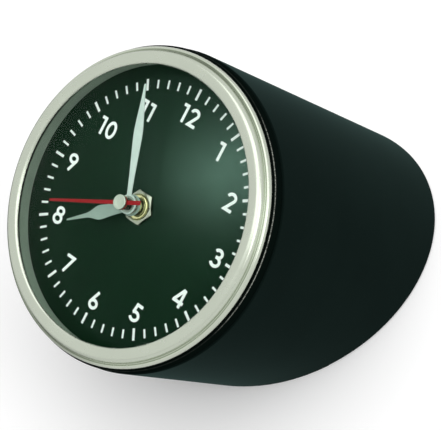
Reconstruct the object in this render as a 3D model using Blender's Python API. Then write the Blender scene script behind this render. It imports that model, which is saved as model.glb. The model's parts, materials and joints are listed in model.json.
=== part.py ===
"""A round desk clock: a tube cut off at a slant, with a quartz clock insert pressed into its front end.

Run it with blender --background --python part.py, or from Blender's text editor. Lengths are in metres.
The world has +Z up with the table at z = 0, +X to the viewer's right and -Y to the front.
The clock itself is modelled in its dial frame: the origin is the dial's centre on its front surface,
x points to 3 o'clock, y to 12 o'clock, and z out of the dial. That frame leans back by TILT.
"""

import math

import bmesh
import bpy
from mathutils import Matrix, Vector

MM = 0.001

# Fits
SEAT_GAP = 0.3 * MM
SHAFT_GAP = 0.1 * MM
LEVEL_GAP = 0.4 * MM
MERGE = 0.00001 * MM
OVERRUN = 2.0 * MM

# Facets
RING_STEPS = 48
ARBOR_STEPS = 12
TUBE_STEPS = 16
ARC_STEPS = 4
SMOOTH_ANGLE = math.radians(35)

# Housing: a tube cut off at a slant, so that the dial leans back
TILT = math.radians(30)
HOUSING_RADIUS = 55.0 * MM
HOUSING_WALL = 3.0 * MM
FRONT_SIDE_LENGTH = 60.2 * MM
HOUSING_EDGE = 0.8 * MM
FOOT_THICKNESS = 0.8 * MM
FOOT_INSET = 0.4 * MM
FOOT_ARC = math.radians(26)
FOOT_BEARINGS = [math.radians(angle) for angle in (40, 140, 220, 320)]
FOOT_STEPS = 6

# Insert case: a moulded cup whose flange lies on the front end of the tube
CASE_WALL = 1.4 * MM
CASE_FLOOR = 1.6 * MM
CASE_SKIRT = 8.0 * MM
CASE_LEAD_IN = 0.6 * MM
FLANGE_SETBACK = 0.5 * MM
FLANGE_HEIGHT = 3.9 * MM
FLANGE_EDGE = 0.6 * MM
LENS_SEAT_DEPTH = 0.7 * MM
LENS_SEAT_WIDTH = 0.9 * MM

# Dial, the ring round it, and the lens
DIAL_THICKNESS = 0.6 * MM
DIAL_RING_WIDTH = 1.0 * MM
DIAL_RING_TAPER = 0.3 * MM
DIAL_RING_LIP = 1.1 * MM
DIAL_RING_LIP_WIDTH = 0.5 * MM
GASKET_THICKNESS = 0.5 * MM
GASKET_WIDTH = 1.5 * MM
LENS_THICKNESS = 1.6 * MM
LENS_CLEARANCE = 0.6 * MM

# Bezel: a rolled ring with a broad round band, a groove and a narrow bead behind it
BEZEL_SETBACK = 0.9 * MM
BEZEL_BACK_WIDTH = 2.7 * MM
BEZEL_LIP_REACH = 3.8 * MM
BEZEL_LIP = 0.15 * MM
# (share of the way from the lip's tip to the rim, share of the height), from the lip round to the back.
# The lip lies on the lens, and the first share says how far up the bezel that is
BEZEL_SHARES = [
    (0.00, 0.75),
    (0.04, 0.83),
    (0.18, 0.94),
    (0.36, 1.00),
    (0.52, 0.98),
    (0.64, 0.90),
    (0.72, 0.78),
    (0.78, 0.58),
    (0.81, 0.64),
    (0.87, 0.665),
    (0.95, 0.57),
    (1.00, 0.32),
    (0.98, 0.00),
]

# Mounting bush, nut and washer, which clamp the movement to the insert case
BUSH_RADIUS = 4.0 * MM
BUSH_BORE = 2.8 * MM
BUSH_HEIGHT = 2.3 * MM
BUSH_EDGE = 0.3 * MM
BUSH_FLANGE_RADIUS = 6.0 * MM
BUSH_FLANGE = 1.0 * MM
NUT_FLATS = 10.4 * MM
NUT_HEIGHT = 1.4 * MM
NUT_CHAMFER = 0.35 * MM
WASHER_RADIUS = 9.0 * MM
WASHER_THICKNESS = 1.0 * MM

# Hands. Tip margins are measured inwards from the ring round the dial, and heights are those of a hand's
# underside over the dial
HAND_THICKNESS = 0.35 * MM
HAND_BOSS_HEIGHT = 0.5 * MM
HOUR_HAND_HEIGHT = 4.8 * MM
HOUR_TIP_MARGIN = 21.6 * MM
HOUR_HAND_WIDTH = 5.0 * MM
HOUR_BOSS_RADIUS = 3.6 * MM
HOUR_HAND_ANGLE = math.radians(232.9)
MINUTE_HAND_HEIGHT = 6.9 * MM
MINUTE_TIP_MARGIN = 8.7 * MM
MINUTE_HAND_WIDTH = 3.6 * MM
MINUTE_BOSS_RADIUS = 3.3 * MM
MINUTE_HAND_ANGLE = math.radians(336.3)
SECOND_HAND_HEIGHT = 10.35 * MM
SECOND_TIP_MARGIN = 18.4 * MM
SECOND_HAND_TAIL = 7.8 * MM
SECOND_HAND_WIDTH = 1.4 * MM
SECOND_BOSS_RADIUS = 2.6 * MM
SECOND_TUBE_RADIUS = 2.1 * MM
SECOND_HAND_ANGLE = math.radians(245.2)
SECOND_CAP_RADIUS = 2.5 * MM
SECOND_CAP_HEIGHT = 0.8 * MM
SECOND_CAP_EDGE = 0.2 * MM
# (share of the length, share of the widest width), along one side of a hand from the boss to the tip
HOUR_HAND_SHARES = [(0.10, 0.66), (0.30, 0.80), (0.49, 1.00), (0.58, 0.68), (0.67, 0.35), (0.82, 0.23),
                    (1.00, 0.10)]
MINUTE_HAND_SHARES = [(0.05, 0.50), (0.24, 0.61), (0.46, 0.90), (0.61, 1.00), (0.80, 0.56), (0.92, 0.28),
                      (1.00, 0.17)]
SECOND_HAND_SHARES = [(0.00, 1.00), (1.00, 0.82)]

# Movement shell
SHELL = 1.2 * MM
SHELL_CORNER = 3.0 * MM
POCKET_CORNER = 1.5 * MM
WALL_CLEARANCE = 0.5 * MM
BACK_COVER = 1.2 * MM
TRAIN_PLATE = 0.8 * MM
PIVOT_HOLE_DEPTH = 0.7 * MM
CORNER_STEPS = 3

# Battery and its contacts
BATTERY_RADIUS = 7.1 * MM
BATTERY_LENGTH = 49.5 * MM
BATTERY_NUB_RADIUS = 2.75 * MM
BATTERY_NUB = 1.0 * MM
BATTERY_EDGE = 0.6 * MM
CONTACT_THICKNESS = 0.4 * MM
CONTACT_WIDTH = 12.0 * MM
CONTACT_HEIGHT = 9.0 * MM
CONTACT_BOW = 0.8 * MM

# (share of the half width, share of the bow) across a contact strip
CONTACT_SHARES = [(-1.0, 0.0), (-0.6, 0.0), (-0.3, 0.8), (0.0, 1.0), (0.3, 0.8), (0.6, 0.0), (1.0, 0.0)]

# Wheels and their pinions
WHEEL_THICKNESS = 0.8 * MM
ARBOR_RADIUS = 0.5 * MM
SECOND_ARBOR_RADIUS = 0.6 * MM
MINUTE_TUBE_RADIUS = 1.6 * MM
MINUTE_TUBE_BORE = 0.8 * MM
HOUR_TUBE_RADIUS = 2.5 * MM
TRAIN_MODULE = 0.4 * MM
ROTOR_MODULE = 0.32 * MM
MOTION_MODULE = 0.36 * MM
PINION_LEAVES = 6
INTERMEDIATE_TEETH = 36
SECOND_TEETH = 30
THIRD_TEETH = 45
CENTRE_TEETH = 48
CANNON_LEAVES = 12
MINUTE_TEETH = 36
MINUTE_PINION_LEAVES = 10
HOUR_TEETH = 40
SETTING_LEAVES = 16
INTERMEDIATE_BEARING = math.radians(100)
ROTOR_BEARING = math.radians(150)
THIRD_BEARING = math.radians(20)
MINUTE_WHEEL_BEARING = math.radians(150)
SETTING_BEARING = math.radians(200)
# Tooth form as shares: tip and root width of the half pitch, height over and depth under the pitch line
WHEEL_TOOTH_SHARES = {"tip": 0.20, "root": 0.60, "over": 0.80, "under": 1.20}
PINION_TOOTH_SHARES = {"tip": 0.20, "root": 0.46, "over": 0.75, "under": 1.25, "pitch": 0.38}

# Stepping motor
MAGNET_RADIUS = 2.8 * MM
MAGNET_OVERHANG = 0.4 * MM
ROTOR_PIVOT_RADIUS = 0.4 * MM
STATOR_HOLE_GAP = 0.5 * MM
STATOR_BORDER = 1.6 * MM
STATOR_ARM = 4.5 * MM
STATOR_THICKNESS = 0.8 * MM
STATOR_CLEARANCE = 0.4 * MM
CORE_WIDTH = 2.5 * MM
CORE_THICKNESS = 0.8 * MM
CORE_INSET = 0.6 * MM
COIL_RADIUS = 3.6 * MM
COIL_LENGTH = 16.0 * MM
COIL_GAP = 1.0 * MM
BOBBIN_BORE = 1.75 * MM
BOBBIN_WALL = 0.5 * MM
BOBBIN_FLANGE = 0.8 * MM

# Electronics
BOARD_THICKNESS = 1.0 * MM
BOARD_WIDTH = 17.0 * MM
BOARD_HEIGHT = 10.0 * MM
CRYSTAL_RADIUS = 1.0 * MM
CRYSTAL_LENGTH = 6.0 * MM

# Setting knob, which is turned from behind
KNOB_RADIUS = 5.0 * MM
KNOB_HEIGHT = 4.0 * MM
KNOB_GRIPS = 18
KNOB_GRIP_DEPTH = 0.35 * MM
KNOB_ARBOR_RADIUS = 0.9 * MM

# Colours, roughness and metallic value of each material
MATERIALS = {
    "housing_black": ((0.020, 0.028, 0.027), 0.42, 0.0),
    "case_black": ((0.012, 0.014, 0.013), 0.30, 0.0),
    "chrome": ((0.78, 0.80, 0.76), 0.12, 1.0),
    "lens_clear": ((0.90, 0.95, 0.92), 0.03, 0.0),
    "rubber_black": ((0.015, 0.015, 0.015), 0.85, 0.0),
    "ring_grey": ((0.16, 0.20, 0.17), 0.45, 0.0),
    "dial_green": ((0.008, 0.020, 0.014), 0.38, 0.0),
    "nickel": ((0.62, 0.64, 0.56), 0.28, 1.0),
    "brass": ((0.82, 0.74, 0.40), 0.25, 1.0),
    "hand_pale": ((0.50, 0.64, 0.56), 0.45, 0.0),
    "hand_red": ((0.42, 0.03, 0.03), 0.40, 0.0),
    "movement_black": ((0.020, 0.020, 0.021), 0.50, 0.0),
    "wheel_white": ((0.74, 0.73, 0.68), 0.45, 0.0),
    "wheel_amber": ((0.62, 0.40, 0.12), 0.45, 0.0),
    "steel": ((0.56, 0.56, 0.57), 0.35, 1.0),
    "copper": ((0.72, 0.33, 0.16), 0.35, 1.0),
    "board_green": ((0.03, 0.14, 0.07), 0.50, 0.0),
    "battery_wrap": ((0.10, 0.11, 0.12), 0.40, 0.2),
}

# Radii from the tube inwards
housing_bore = HOUSING_RADIUS - HOUSING_WALL
skirt_radius = housing_bore - SEAT_GAP
case_bore = skirt_radius - CASE_WALL
flange_radius = HOUSING_RADIUS - FLANGE_SETBACK
dial_radius = case_bore - SEAT_GAP
dial_ring_bore = dial_radius - DIAL_RING_WIDTH
gasket_radius = case_bore + LENS_SEAT_WIDTH - SEAT_GAP
gasket_bore = gasket_radius - GASKET_WIDTH
bezel_radius = flange_radius - BEZEL_SETBACK
bezel_bore = bezel_radius - BEZEL_BACK_WIDTH
lens_radius = bezel_bore - SEAT_GAP
bezel_tip_radius = bezel_bore - BEZEL_LIP_REACH

# Heights over the dial, from the dial outwards
lens_seat = FLANGE_HEIGHT - LENS_SEAT_DEPTH
gasket_bottom = lens_seat + SEAT_GAP
lens_edge = gasket_bottom + GASKET_THICKNESS + SEAT_GAP
bezel_back = FLANGE_HEIGHT + SEAT_GAP
dial_ring_step_bore = gasket_bore - SEAT_GAP
dial_ring_top = lens_seat + DIAL_RING_LIP

# Heights from the dial inwards
dial_back = -DIAL_THICKNESS
floor_front = dial_back - SEAT_GAP
floor_back = floor_front - CASE_FLOOR
washer_front = floor_back - SEAT_GAP
washer_back = washer_front - WASHER_THICKNESS
shell_front = washer_back - SEAT_GAP
plate_back = shell_front - SHELL
bush_flange_front = plate_back - SEAT_GAP
bush_flange_back = bush_flange_front - BUSH_FLANGE
hour_wheel_front = bush_flange_back - LEVEL_GAP
hour_wheel_back = hour_wheel_front - WHEEL_THICKNESS
minute_wheel_front = hour_wheel_back - LEVEL_GAP
minute_wheel_back = minute_wheel_front - WHEEL_THICKNESS
centre_wheel_front = minute_wheel_back - LEVEL_GAP
centre_wheel_back = centre_wheel_front - WHEEL_THICKNESS
cannon_end = centre_wheel_back - LEVEL_GAP / 2
train_plate_front = cannon_end - SEAT_GAP
train_plate_back = train_plate_front - TRAIN_PLATE
third_wheel_front = train_plate_back - LEVEL_GAP
third_wheel_back = third_wheel_front - WHEEL_THICKNESS
second_wheel_front = third_wheel_back - LEVEL_GAP
second_wheel_back = second_wheel_front - WHEEL_THICKNESS
intermediate_front = second_wheel_back - LEVEL_GAP
intermediate_back = intermediate_front - WHEEL_THICKNESS
battery_back = plate_back - SEAT_GAP - 2 * BATTERY_RADIUS
cover_front = min(battery_back + BACK_COVER, intermediate_back - LEVEL_GAP)
cover_back = cover_front - BACK_COVER
pivot_end = cover_front - PIVOT_HOLE_DEPTH + SEAT_GAP
front_pivot_end = plate_back + PIVOT_HOLE_DEPTH - SEAT_GAP
knob_front = cover_back - SEAT_GAP
knob_back = knob_front - KNOB_HEIGHT

# Hubs of the hands
hour_tube_bore = MINUTE_TUBE_RADIUS + SHAFT_GAP
hour_tube_end = HOUR_HAND_HEIGHT + HAND_THICKNESS + HAND_BOSS_HEIGHT
minute_tube_end = MINUTE_HAND_HEIGHT + HAND_THICKNESS + HAND_BOSS_HEIGHT
second_arbor_end = SECOND_HAND_HEIGHT
second_hand_top = SECOND_HAND_HEIGHT + HAND_THICKNESS
cap_bottom = second_hand_top + SEAT_GAP
cap_top = cap_bottom + SECOND_CAP_HEIGHT

# Lengths of the hands
hour_hand_length = dial_ring_bore - HOUR_TIP_MARGIN
minute_hand_length = dial_ring_bore - MINUTE_TIP_MARGIN
second_hand_length = dial_ring_bore - SECOND_TIP_MARGIN

# Wheel sizes that follow from the centre distances
minute_distance = MOTION_MODULE * (CANNON_LEAVES + MINUTE_TEETH) / 2
hour_module = 2 * minute_distance / (MINUTE_PINION_LEAVES + HOUR_TEETH)
setting_distance = MOTION_MODULE * (MINUTE_TEETH + SETTING_LEAVES) / 2
third_distance = TRAIN_MODULE * (PINION_LEAVES + THIRD_TEETH) / 2
centre_module = 2 * third_distance / (PINION_LEAVES + CENTRE_TEETH)
intermediate_distance = TRAIN_MODULE * (PINION_LEAVES + SECOND_TEETH) / 2
rotor_distance = ROTOR_MODULE * (PINION_LEAVES + INTERMEDIATE_TEETH) / 2


def polar(radius, angle):
    return Vector((radius * math.cos(angle), radius * math.sin(angle)))


def outer_radius(teeth, module, shares):
    return teeth * module / 2 + module * shares["over"]


# Places of the arbors, in the dial frame
minute_place = polar(minute_distance, MINUTE_WHEEL_BEARING)
setting_place = minute_place + polar(setting_distance, SETTING_BEARING)
third_place = polar(third_distance, THIRD_BEARING)
intermediate_place = polar(intermediate_distance, INTERMEDIATE_BEARING)
rotor_place = intermediate_place + polar(rotor_distance, ROTOR_BEARING)

# Stator and coil, laid out round the rotor
second_wheel_radius = outer_radius(SECOND_TEETH, TRAIN_MODULE, WHEEL_TOOTH_SHARES)
third_wheel_radius = outer_radius(THIRD_TEETH, TRAIN_MODULE, WHEEL_TOOTH_SHARES)
centre_wheel_radius = outer_radius(CENTRE_TEETH, centre_module, WHEEL_TOOTH_SHARES)
train_pinion_radius = outer_radius(PINION_LEAVES, TRAIN_MODULE, PINION_TOOTH_SHARES)
stator_hole = MAGNET_RADIUS + STATOR_HOLE_GAP
stator_bottom = second_wheel_radius + STATOR_CLEARANCE
stator_step_x = intermediate_place.x - train_pinion_radius - STATOR_CLEARANCE
stator_step_y = intermediate_place.y + train_pinion_radius + STATOR_CLEARANCE
stator_bar_top = rotor_place.y + stator_hole + STATOR_BORDER
stator_front = second_wheel_front
stator_back = stator_front - STATOR_THICKNESS
coil_x = rotor_place.x
coil_y = stator_bar_top + COIL_GAP + COIL_RADIUS
arm_left = coil_x - COIL_LENGTH / 2 - COIL_GAP
arm_right = coil_x + COIL_LENGTH / 2 + COIL_GAP
stator_left = arm_left - STATOR_ARM
stator_right = arm_right + STATOR_ARM
stator_top = coil_y + CORE_WIDTH
core_back = stator_front + SEAT_GAP
coil_z = core_back + CORE_THICKNESS / 2

# Circuit board, in the corner beside the coil and above the third wheel
board_front = stator_front
board_back = board_front - BOARD_THICKNESS
board_right = stator_right + WALL_CLEARANCE + BOARD_WIDTH
board_top = third_place.y + third_wheel_radius + WALL_CLEARANCE + BOARD_HEIGHT

# Inside faces of the movement shell, which is as large as what it holds
battery_half = (BATTERY_LENGTH + BATTERY_NUB) / 2
bay_half = battery_half + SEAT_GAP + CONTACT_BOW + CONTACT_THICKNESS + SEAT_GAP
inner_left = min(-bay_half, stator_left - WALL_CLEARANCE)
inner_right = max(bay_half, third_place.x + third_wheel_radius + WALL_CLEARANCE, board_right + SEAT_GAP)
inner_top = max(coil_y + COIL_RADIUS + WALL_CLEARANCE, board_top + SEAT_GAP)
train_bottom = -centre_wheel_radius - WALL_CLEARANCE
bay_top = train_bottom - SHELL
battery_y = bay_top - SEAT_GAP - BATTERY_RADIUS
bay_bottom = battery_y - BATTERY_RADIUS - SEAT_GAP
battery_z = plate_back - SEAT_GAP - BATTERY_RADIUS
train_plate_top = coil_y - COIL_RADIUS - WALL_CLEARANCE


def dome_curve(radius, height):
    """The radius of the sphere through the lens's edge and through a circle inside and above it."""
    rise = height - lens_edge
    depth = ((lens_radius**2 - radius**2) / rise + rise) / 2
    return math.hypot(depth, radius)


# The lens is the flattest dome that clears the tips of the hands and the cap in the middle
lens_curve = min(
    dome_curve(radius, height + LENS_CLEARANCE)
    for radius, height in (
        (minute_hand_length, MINUTE_HAND_HEIGHT + HAND_THICKNESS),
        (second_hand_length, second_hand_top),
        (SECOND_CAP_RADIUS, cap_top),
    )
)


def lens_drop(radius):
    """How far the lens lies below its top at this distance from the axis."""
    return lens_curve - math.sqrt(lens_curve**2 - radius**2)


lens_inner_top = lens_edge + lens_drop(lens_radius)
lens_outer_top = lens_inner_top + LENS_THICKNESS


def lens_outer(radius):
    """The height of the lens's outer surface."""
    return lens_outer_top - lens_drop(radius)


def bezel_outline():
    """The bezel's section: its underside follows the lens, and its outside follows the shares."""
    width = bezel_radius - bezel_tip_radius
    lip = lens_outer(bezel_tip_radius) + SEAT_GAP
    height = (lip + BEZEL_LIP - bezel_back) / BEZEL_SHARES[0][1]
    outside = [(bezel_tip_radius + across * width, bezel_back + up * height) for across, up in BEZEL_SHARES]
    underside = [
        (bezel_bore, bezel_back),
        (bezel_bore, lens_outer(bezel_bore) + SEAT_GAP),
        (bezel_tip_radius, lip),
    ]
    return outside + underside


def case_outline():
    """The insert case's section, from its centre hole round the cup and the flange."""
    hole = BUSH_RADIUS + SEAT_GAP
    return [
        (hole, floor_back),
        (hole, floor_front),
        (case_bore, floor_front),
        (case_bore, lens_seat),
        (case_bore + LENS_SEAT_WIDTH, lens_seat),
        (case_bore + LENS_SEAT_WIDTH, FLANGE_HEIGHT),
        (flange_radius - FLANGE_EDGE, FLANGE_HEIGHT),
        (flange_radius, FLANGE_HEIGHT - FLANGE_EDGE),
        (flange_radius, SEAT_GAP),
        (skirt_radius, SEAT_GAP),
        (skirt_radius, CASE_LEAD_IN - CASE_SKIRT),
        (skirt_radius - CASE_LEAD_IN, -CASE_SKIRT),
        (case_bore, -CASE_SKIRT),
        (case_bore, floor_back),
    ]


# Where the dial frame stands: the overall box is centred over the world's origin
base_drop = (FRONT_SIDE_LENGTH + HOUSING_RADIUS * math.tan(TILT)) * math.cos(TILT)
axis_run = base_drop * math.tan(TILT)
front_reach = max(
    radius * math.cos(TILT) + height * math.sin(TILT)
    for radius, height in bezel_outline() + case_outline() + [(HOUSING_RADIUS, -HOUSING_EDGE)]
)
back_reach = axis_run + HOUSING_RADIUS / math.cos(TILT)
dial_centre = Vector((0, (front_reach - back_reach) / 2, base_drop + FOOT_THICKNESS))
dial_matrix = Matrix.Translation(dial_centre) @ Matrix.Rotation(TILT, 4, "X")


def clear_scene():
    for obj in list(bpy.data.objects):
        bpy.data.objects.remove(obj, do_unlink=True)


def make_material(name):
    colour, roughness, metallic = MATERIALS[name]
    material = bpy.data.materials.get(name) or bpy.data.materials.new(name)
    material.use_nodes = True
    shader = material.node_tree.nodes["Principled BSDF"]
    shader.inputs["Base Color"].default_value = (*colour, 1)
    shader.inputs["Roughness"].default_value = roughness
    shader.inputs["Metallic"].default_value = metallic
    material.diffuse_color = (*colour, 1)
    return material


def make_empty(name, parent=None, place=(0, 0)):
    empty = bpy.data.objects.new(name, None)
    bpy.context.scene.collection.objects.link(empty)
    empty.parent = parent
    empty.location = (place[0], place[1], 0)
    return empty


def make_object(name, bm, material, parent):
    """Turns a bmesh into a named object with outward faces, flat on its flats and smooth on its curves."""
    bmesh.ops.remove_doubles(bm, verts=bm.verts, dist=MERGE)
    bmesh.ops.recalc_face_normals(bm, faces=bm.faces)
    mesh = bpy.data.meshes.new(name)
    bm.to_mesh(mesh)
    bm.free()
    mesh.shade_smooth()
    mesh.set_sharp_from_angle(angle=SMOOTH_ANGLE)
    obj = bpy.data.objects.new(name, mesh)
    bpy.context.scene.collection.objects.link(obj)
    obj.data.materials.append(make_material(material))
    obj.parent = parent
    return obj


def circle(radius, steps=TUBE_STEPS, phase=0.0):
    return [polar(radius, phase + math.tau * step / steps) for step in range(steps)]


def spin_outline(outline, steps):
    """An outline of (radius, height) turned round the z axis. It may start and end on the axis."""
    bm = bmesh.new()
    points = [bm.verts.new((radius, 0, height)) for radius, height in outline]
    edges = [bm.edges.new(pair) for pair in zip(points, points[1:])]
    if outline[0][0] or outline[-1][0]:
        edges.append(bm.edges.new((points[-1], points[0])))
    bmesh.ops.spin(
        bm,
        geom=points + edges,
        cent=(0, 0, 0),
        axis=(0, 0, 1),
        angle=math.tau,
        steps=steps,
        use_merge=True,
    )
    bmesh.ops.remove_doubles(bm, verts=bm.verts, dist=MERGE)
    return bm


def lathe(name, outline, material, parent, steps=RING_STEPS, turn=None):
    bm = spin_outline(outline, steps)
    if turn is not None:
        bmesh.ops.transform(bm, matrix=turn, verts=bm.verts)
    return make_object(name, bm, material, parent)


def add_loop(bm, outline, height):
    """A closed loop of vertices and its edges, at one height."""
    points = [bm.verts.new((x, y, height)) for x, y in outline]
    edges = [bm.edges.new(pair) for pair in zip(points, points[1:] + points[:1])]
    return points, edges


def add_wall(bm, lower, upper):
    for a, b, c, d in zip(lower, lower[1:] + lower[:1], upper[1:] + upper[:1], upper):
        bm.faces.new((a, b, c, d))


def fill_between(bm, *loops):
    edges = [edge for loop in loops for edge in loop[1]]
    bmesh.ops.triangle_fill(bm, use_beauty=True, use_dissolve=False, edges=edges, normal=(0, 0, 1))


def stack(name, sections, material, parent, bore=None, turn=None):
    """Prisms one on another round one axis, as a wheel with its pinion and arbor, with a bore through all.

    sections holds (outline, bottom, top) from the lowest up. Next to each other, one lies inside the other.
    """
    bm = bmesh.new()
    below = add_loop(bm, bore, sections[0][1]) if bore else None
    hole_bottom = below
    for outline, bottom, top in sections:
        lower, upper = add_loop(bm, outline, bottom), add_loop(bm, outline, top)
        fill_between(bm, *([below, lower] if below else [lower]))
        add_wall(bm, lower[0], upper[0])
        below = upper
    if bore:
        hole_top = add_loop(bm, bore, sections[-1][2])
        fill_between(bm, below, hole_top)
        add_wall(bm, hole_bottom[0], hole_top[0])
    else:
        fill_between(bm, below)
    if turn is not None:
        bmesh.ops.transform(bm, matrix=turn, verts=bm.verts)
    return make_object(name, bm, material, parent)


def plate(name, outline, holes, bottom, top, material, parent):
    """A flat plate with holes, extruded from its bottom face."""
    bm = bmesh.new()
    loops = [add_loop(bm, loop, bottom) for loop in [outline, *holes]]
    fill_between(bm, *loops)
    grown = bmesh.ops.extrude_face_region(bm, geom=bm.faces[:])
    upper = [item for item in grown["geom"] if isinstance(item, bmesh.types.BMVert)]
    bmesh.ops.translate(bm, vec=(0, 0, top - bottom), verts=upper)
    return make_object(name, bm, material, parent)


def rounded_box(left, right, bottom, top, corner):
    """The outline of a rectangle with round corners."""
    outline = []
    for x, y, start in (
        (right - corner, top - corner, 0),
        (left + corner, top - corner, 1),
        (left + corner, bottom + corner, 2),
        (right - corner, bottom + corner, 3),
    ):
        for step in range(CORNER_STEPS + 1):
            angle = math.pi / 2 * (start + step / CORNER_STEPS)
            outline.append(Vector((x, y)) + polar(corner, angle))
    return outline


def moved(outline, place):
    return [Vector(point) + Vector(place) for point in outline]


def cut_with(target, name, outline, bottom, top):
    """Cuts a prism out of a target by a Boolean, and leaves the cutter as a wire guide."""
    cutter = plate(name, outline, [], bottom, top, "steel", target.parent)
    cutter.hide_render = True
    cutter.display_type = "WIRE"
    add_boolean(target, cutter, "DIFFERENCE")


def add_boolean(target, other, operation):
    modifier = target.modifiers.new(other.name, "BOOLEAN")
    modifier.operation = operation
    modifier.object = other
    modifier.solver = "EXACT"


def gear_outline(teeth, module, shares, phase):
    """The outline of a gear with one tooth centred on the angle phase."""
    pitch = math.tau / teeth
    pitch_radius = teeth * module / 2
    tip = pitch_radius + module * shares["over"]
    root = pitch_radius - module * shares["under"]
    flank = [(root, -shares["root"])]
    if "pitch" in shares:
        flank.append((pitch_radius, -shares["pitch"]))
    flank.append((tip, -shares["tip"]))
    tooth = flank + [(radius, -share) for radius, share in reversed(flank)]
    return [
        polar(radius, phase + pitch * (index + share / 2))
        for index in range(teeth)
        for radius, share in tooth
    ]


def meshing_phase(phase, teeth, other_teeth, bearing):
    """The phase of a gear that lies along bearing from one of the given phase, and meshes with it."""
    pitch = math.tau / teeth
    offset = (phase - bearing + pitch / 2) % pitch - pitch / 2
    return bearing + math.pi - offset * teeth / other_teeth + math.pi / other_teeth


def build_housing(parent):
    """The tube, sawn off along the table plane, with a broken edge at the front."""
    longest = 2 * (base_drop / math.cos(TILT) + HOUSING_RADIUS * math.tan(TILT))
    outline = [
        (housing_bore, -longest),
        (housing_bore, -HOUSING_EDGE / 2),
        (housing_bore + HOUSING_EDGE / 2, 0),
        (HOUSING_RADIUS - HOUSING_EDGE, 0),
        (HOUSING_RADIUS - HOUSING_EDGE / 4, -HOUSING_EDGE / 4),
        (HOUSING_RADIUS, -HOUSING_EDGE),
        (HOUSING_RADIUS, -longest),
    ]
    bm = spin_outline(outline, RING_STEPS)
    down = Vector((0, -math.sin(TILT), -math.cos(TILT)))
    bmesh.ops.bisect_plane(
        bm,
        geom=bm.verts[:] + bm.edges[:] + bm.faces[:],
        plane_co=down * base_drop,
        plane_no=down,
        clear_outer=True,
    )
    rims = [edge for edge in bm.edges if edge.is_boundary]
    bmesh.ops.bridge_loops(bm, edges=rims)
    return make_object("housing_shell", bm, "housing_black", parent)


def build_feet():
    """Four thin pads under the sawn edge, each a short arc of the cut wall."""
    stretch = 1 / math.cos(TILT)
    centre = Vector((0, dial_centre.y + axis_run))
    for number, bearing in enumerate(FOOT_BEARINGS, start=1):
        angles = [bearing + FOOT_ARC * (step / FOOT_STEPS - 0.5) for step in range(FOOT_STEPS + 1)]
        inner = [polar(housing_bore + FOOT_INSET, angle) for angle in angles]
        outer = [polar(HOUSING_RADIUS - FOOT_INSET, angle) for angle in reversed(angles)]
        outline = [centre + Vector((x, y * stretch)) for x, y in inner + outer]
        plate(f"foot_pad_{number}", outline, [], 0, FOOT_THICKNESS - SEAT_GAP, "rubber_black", None)


def build_front(parent):
    """The insert case, the dial with the ring round it, and the lens under its bezel."""
    lathe("insert_case", case_outline(), "case_black", parent)
    lathe("bezel_ring", bezel_outline(), "chrome", parent)
    hole = BUSH_RADIUS + SEAT_GAP
    dial = [(hole, dial_back), (dial_radius, dial_back), (dial_radius, 0), (hole, 0)]
    lathe("dial_plate", dial, "dial_green", parent)
    ring = [
        (dial_radius, SEAT_GAP),
        (dial_radius, lens_seat),
        (dial_ring_step_bore, lens_seat),
        (dial_ring_step_bore, dial_ring_top),
        (dial_ring_step_bore - DIAL_RING_LIP_WIDTH, dial_ring_top),
        (dial_ring_bore, SEAT_GAP),
    ]
    lathe("dial_ring", ring, "ring_grey", parent)
    gasket = [
        (gasket_bore, gasket_bottom),
        (gasket_radius, gasket_bottom),
        (gasket_radius, gasket_bottom + GASKET_THICKNESS),
        (gasket_bore, gasket_bottom + GASKET_THICKNESS),
    ]
    lathe("lens_gasket", gasket, "rubber_black", parent)
    radii = [lens_radius * step / ARC_STEPS for step in range(ARC_STEPS + 1)]
    inside = [(radius, lens_inner_top - lens_drop(radius)) for radius in radii]
    outside = [(radius, height + LENS_THICKNESS) for radius, height in reversed(inside)]
    lathe("lens_glass", inside + outside, "lens_clear", parent)


def build_bush(parent):
    """The threaded bush, the nut on it and the washer behind the insert case."""
    bush = [
        (BUSH_BORE, bush_flange_back),
        (BUSH_FLANGE_RADIUS, bush_flange_back),
        (BUSH_FLANGE_RADIUS, bush_flange_front),
        (BUSH_RADIUS, bush_flange_front),
        (BUSH_RADIUS, BUSH_HEIGHT - BUSH_EDGE),
        (BUSH_RADIUS - BUSH_EDGE, BUSH_HEIGHT),
        (BUSH_BORE, BUSH_HEIGHT),
    ]
    lathe("threaded_bush", bush, "brass", parent, TUBE_STEPS)
    hole = BUSH_RADIUS + SEAT_GAP
    washer = [
        (hole, washer_back),
        (WASHER_RADIUS, washer_back),
        (WASHER_RADIUS, washer_front),
        (hole, washer_front),
    ]
    lathe("rubber_washer", washer, "rubber_black", parent, TUBE_STEPS)
    build_nut(parent)


def build_nut(parent):
    """A hexagon with two corners on the 3 to 9 o'clock line, its top corners turned off by a cone."""
    corner = NUT_FLATS / 2 / math.cos(math.pi / 6)
    nut = stack(
        "hex_nut",
        [(circle(corner, 6), SEAT_GAP, SEAT_GAP + NUT_HEIGHT)],
        "nickel",
        parent,
        bore=circle(BUSH_RADIUS + SHAFT_GAP, TUBE_STEPS),
    )
    top = SEAT_GAP + NUT_HEIGHT
    slope = NUT_CHAMFER / (corner - NUT_FLATS / 2)
    cone = [
        (0, -OVERRUN),
        (corner + OVERRUN, -OVERRUN),
        (corner + OVERRUN, top - NUT_CHAMFER - OVERRUN * slope),
        (NUT_FLATS / 2, top),
        (NUT_FLATS / 2, top + OVERRUN),
        (0, top + OVERRUN),
    ]
    keeper = lathe("nut_turning", cone, "steel", parent, TUBE_STEPS)
    keeper.hide_render = True
    keeper.display_type = "WIRE"
    add_boolean(nut, keeper, "INTERSECT")


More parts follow.
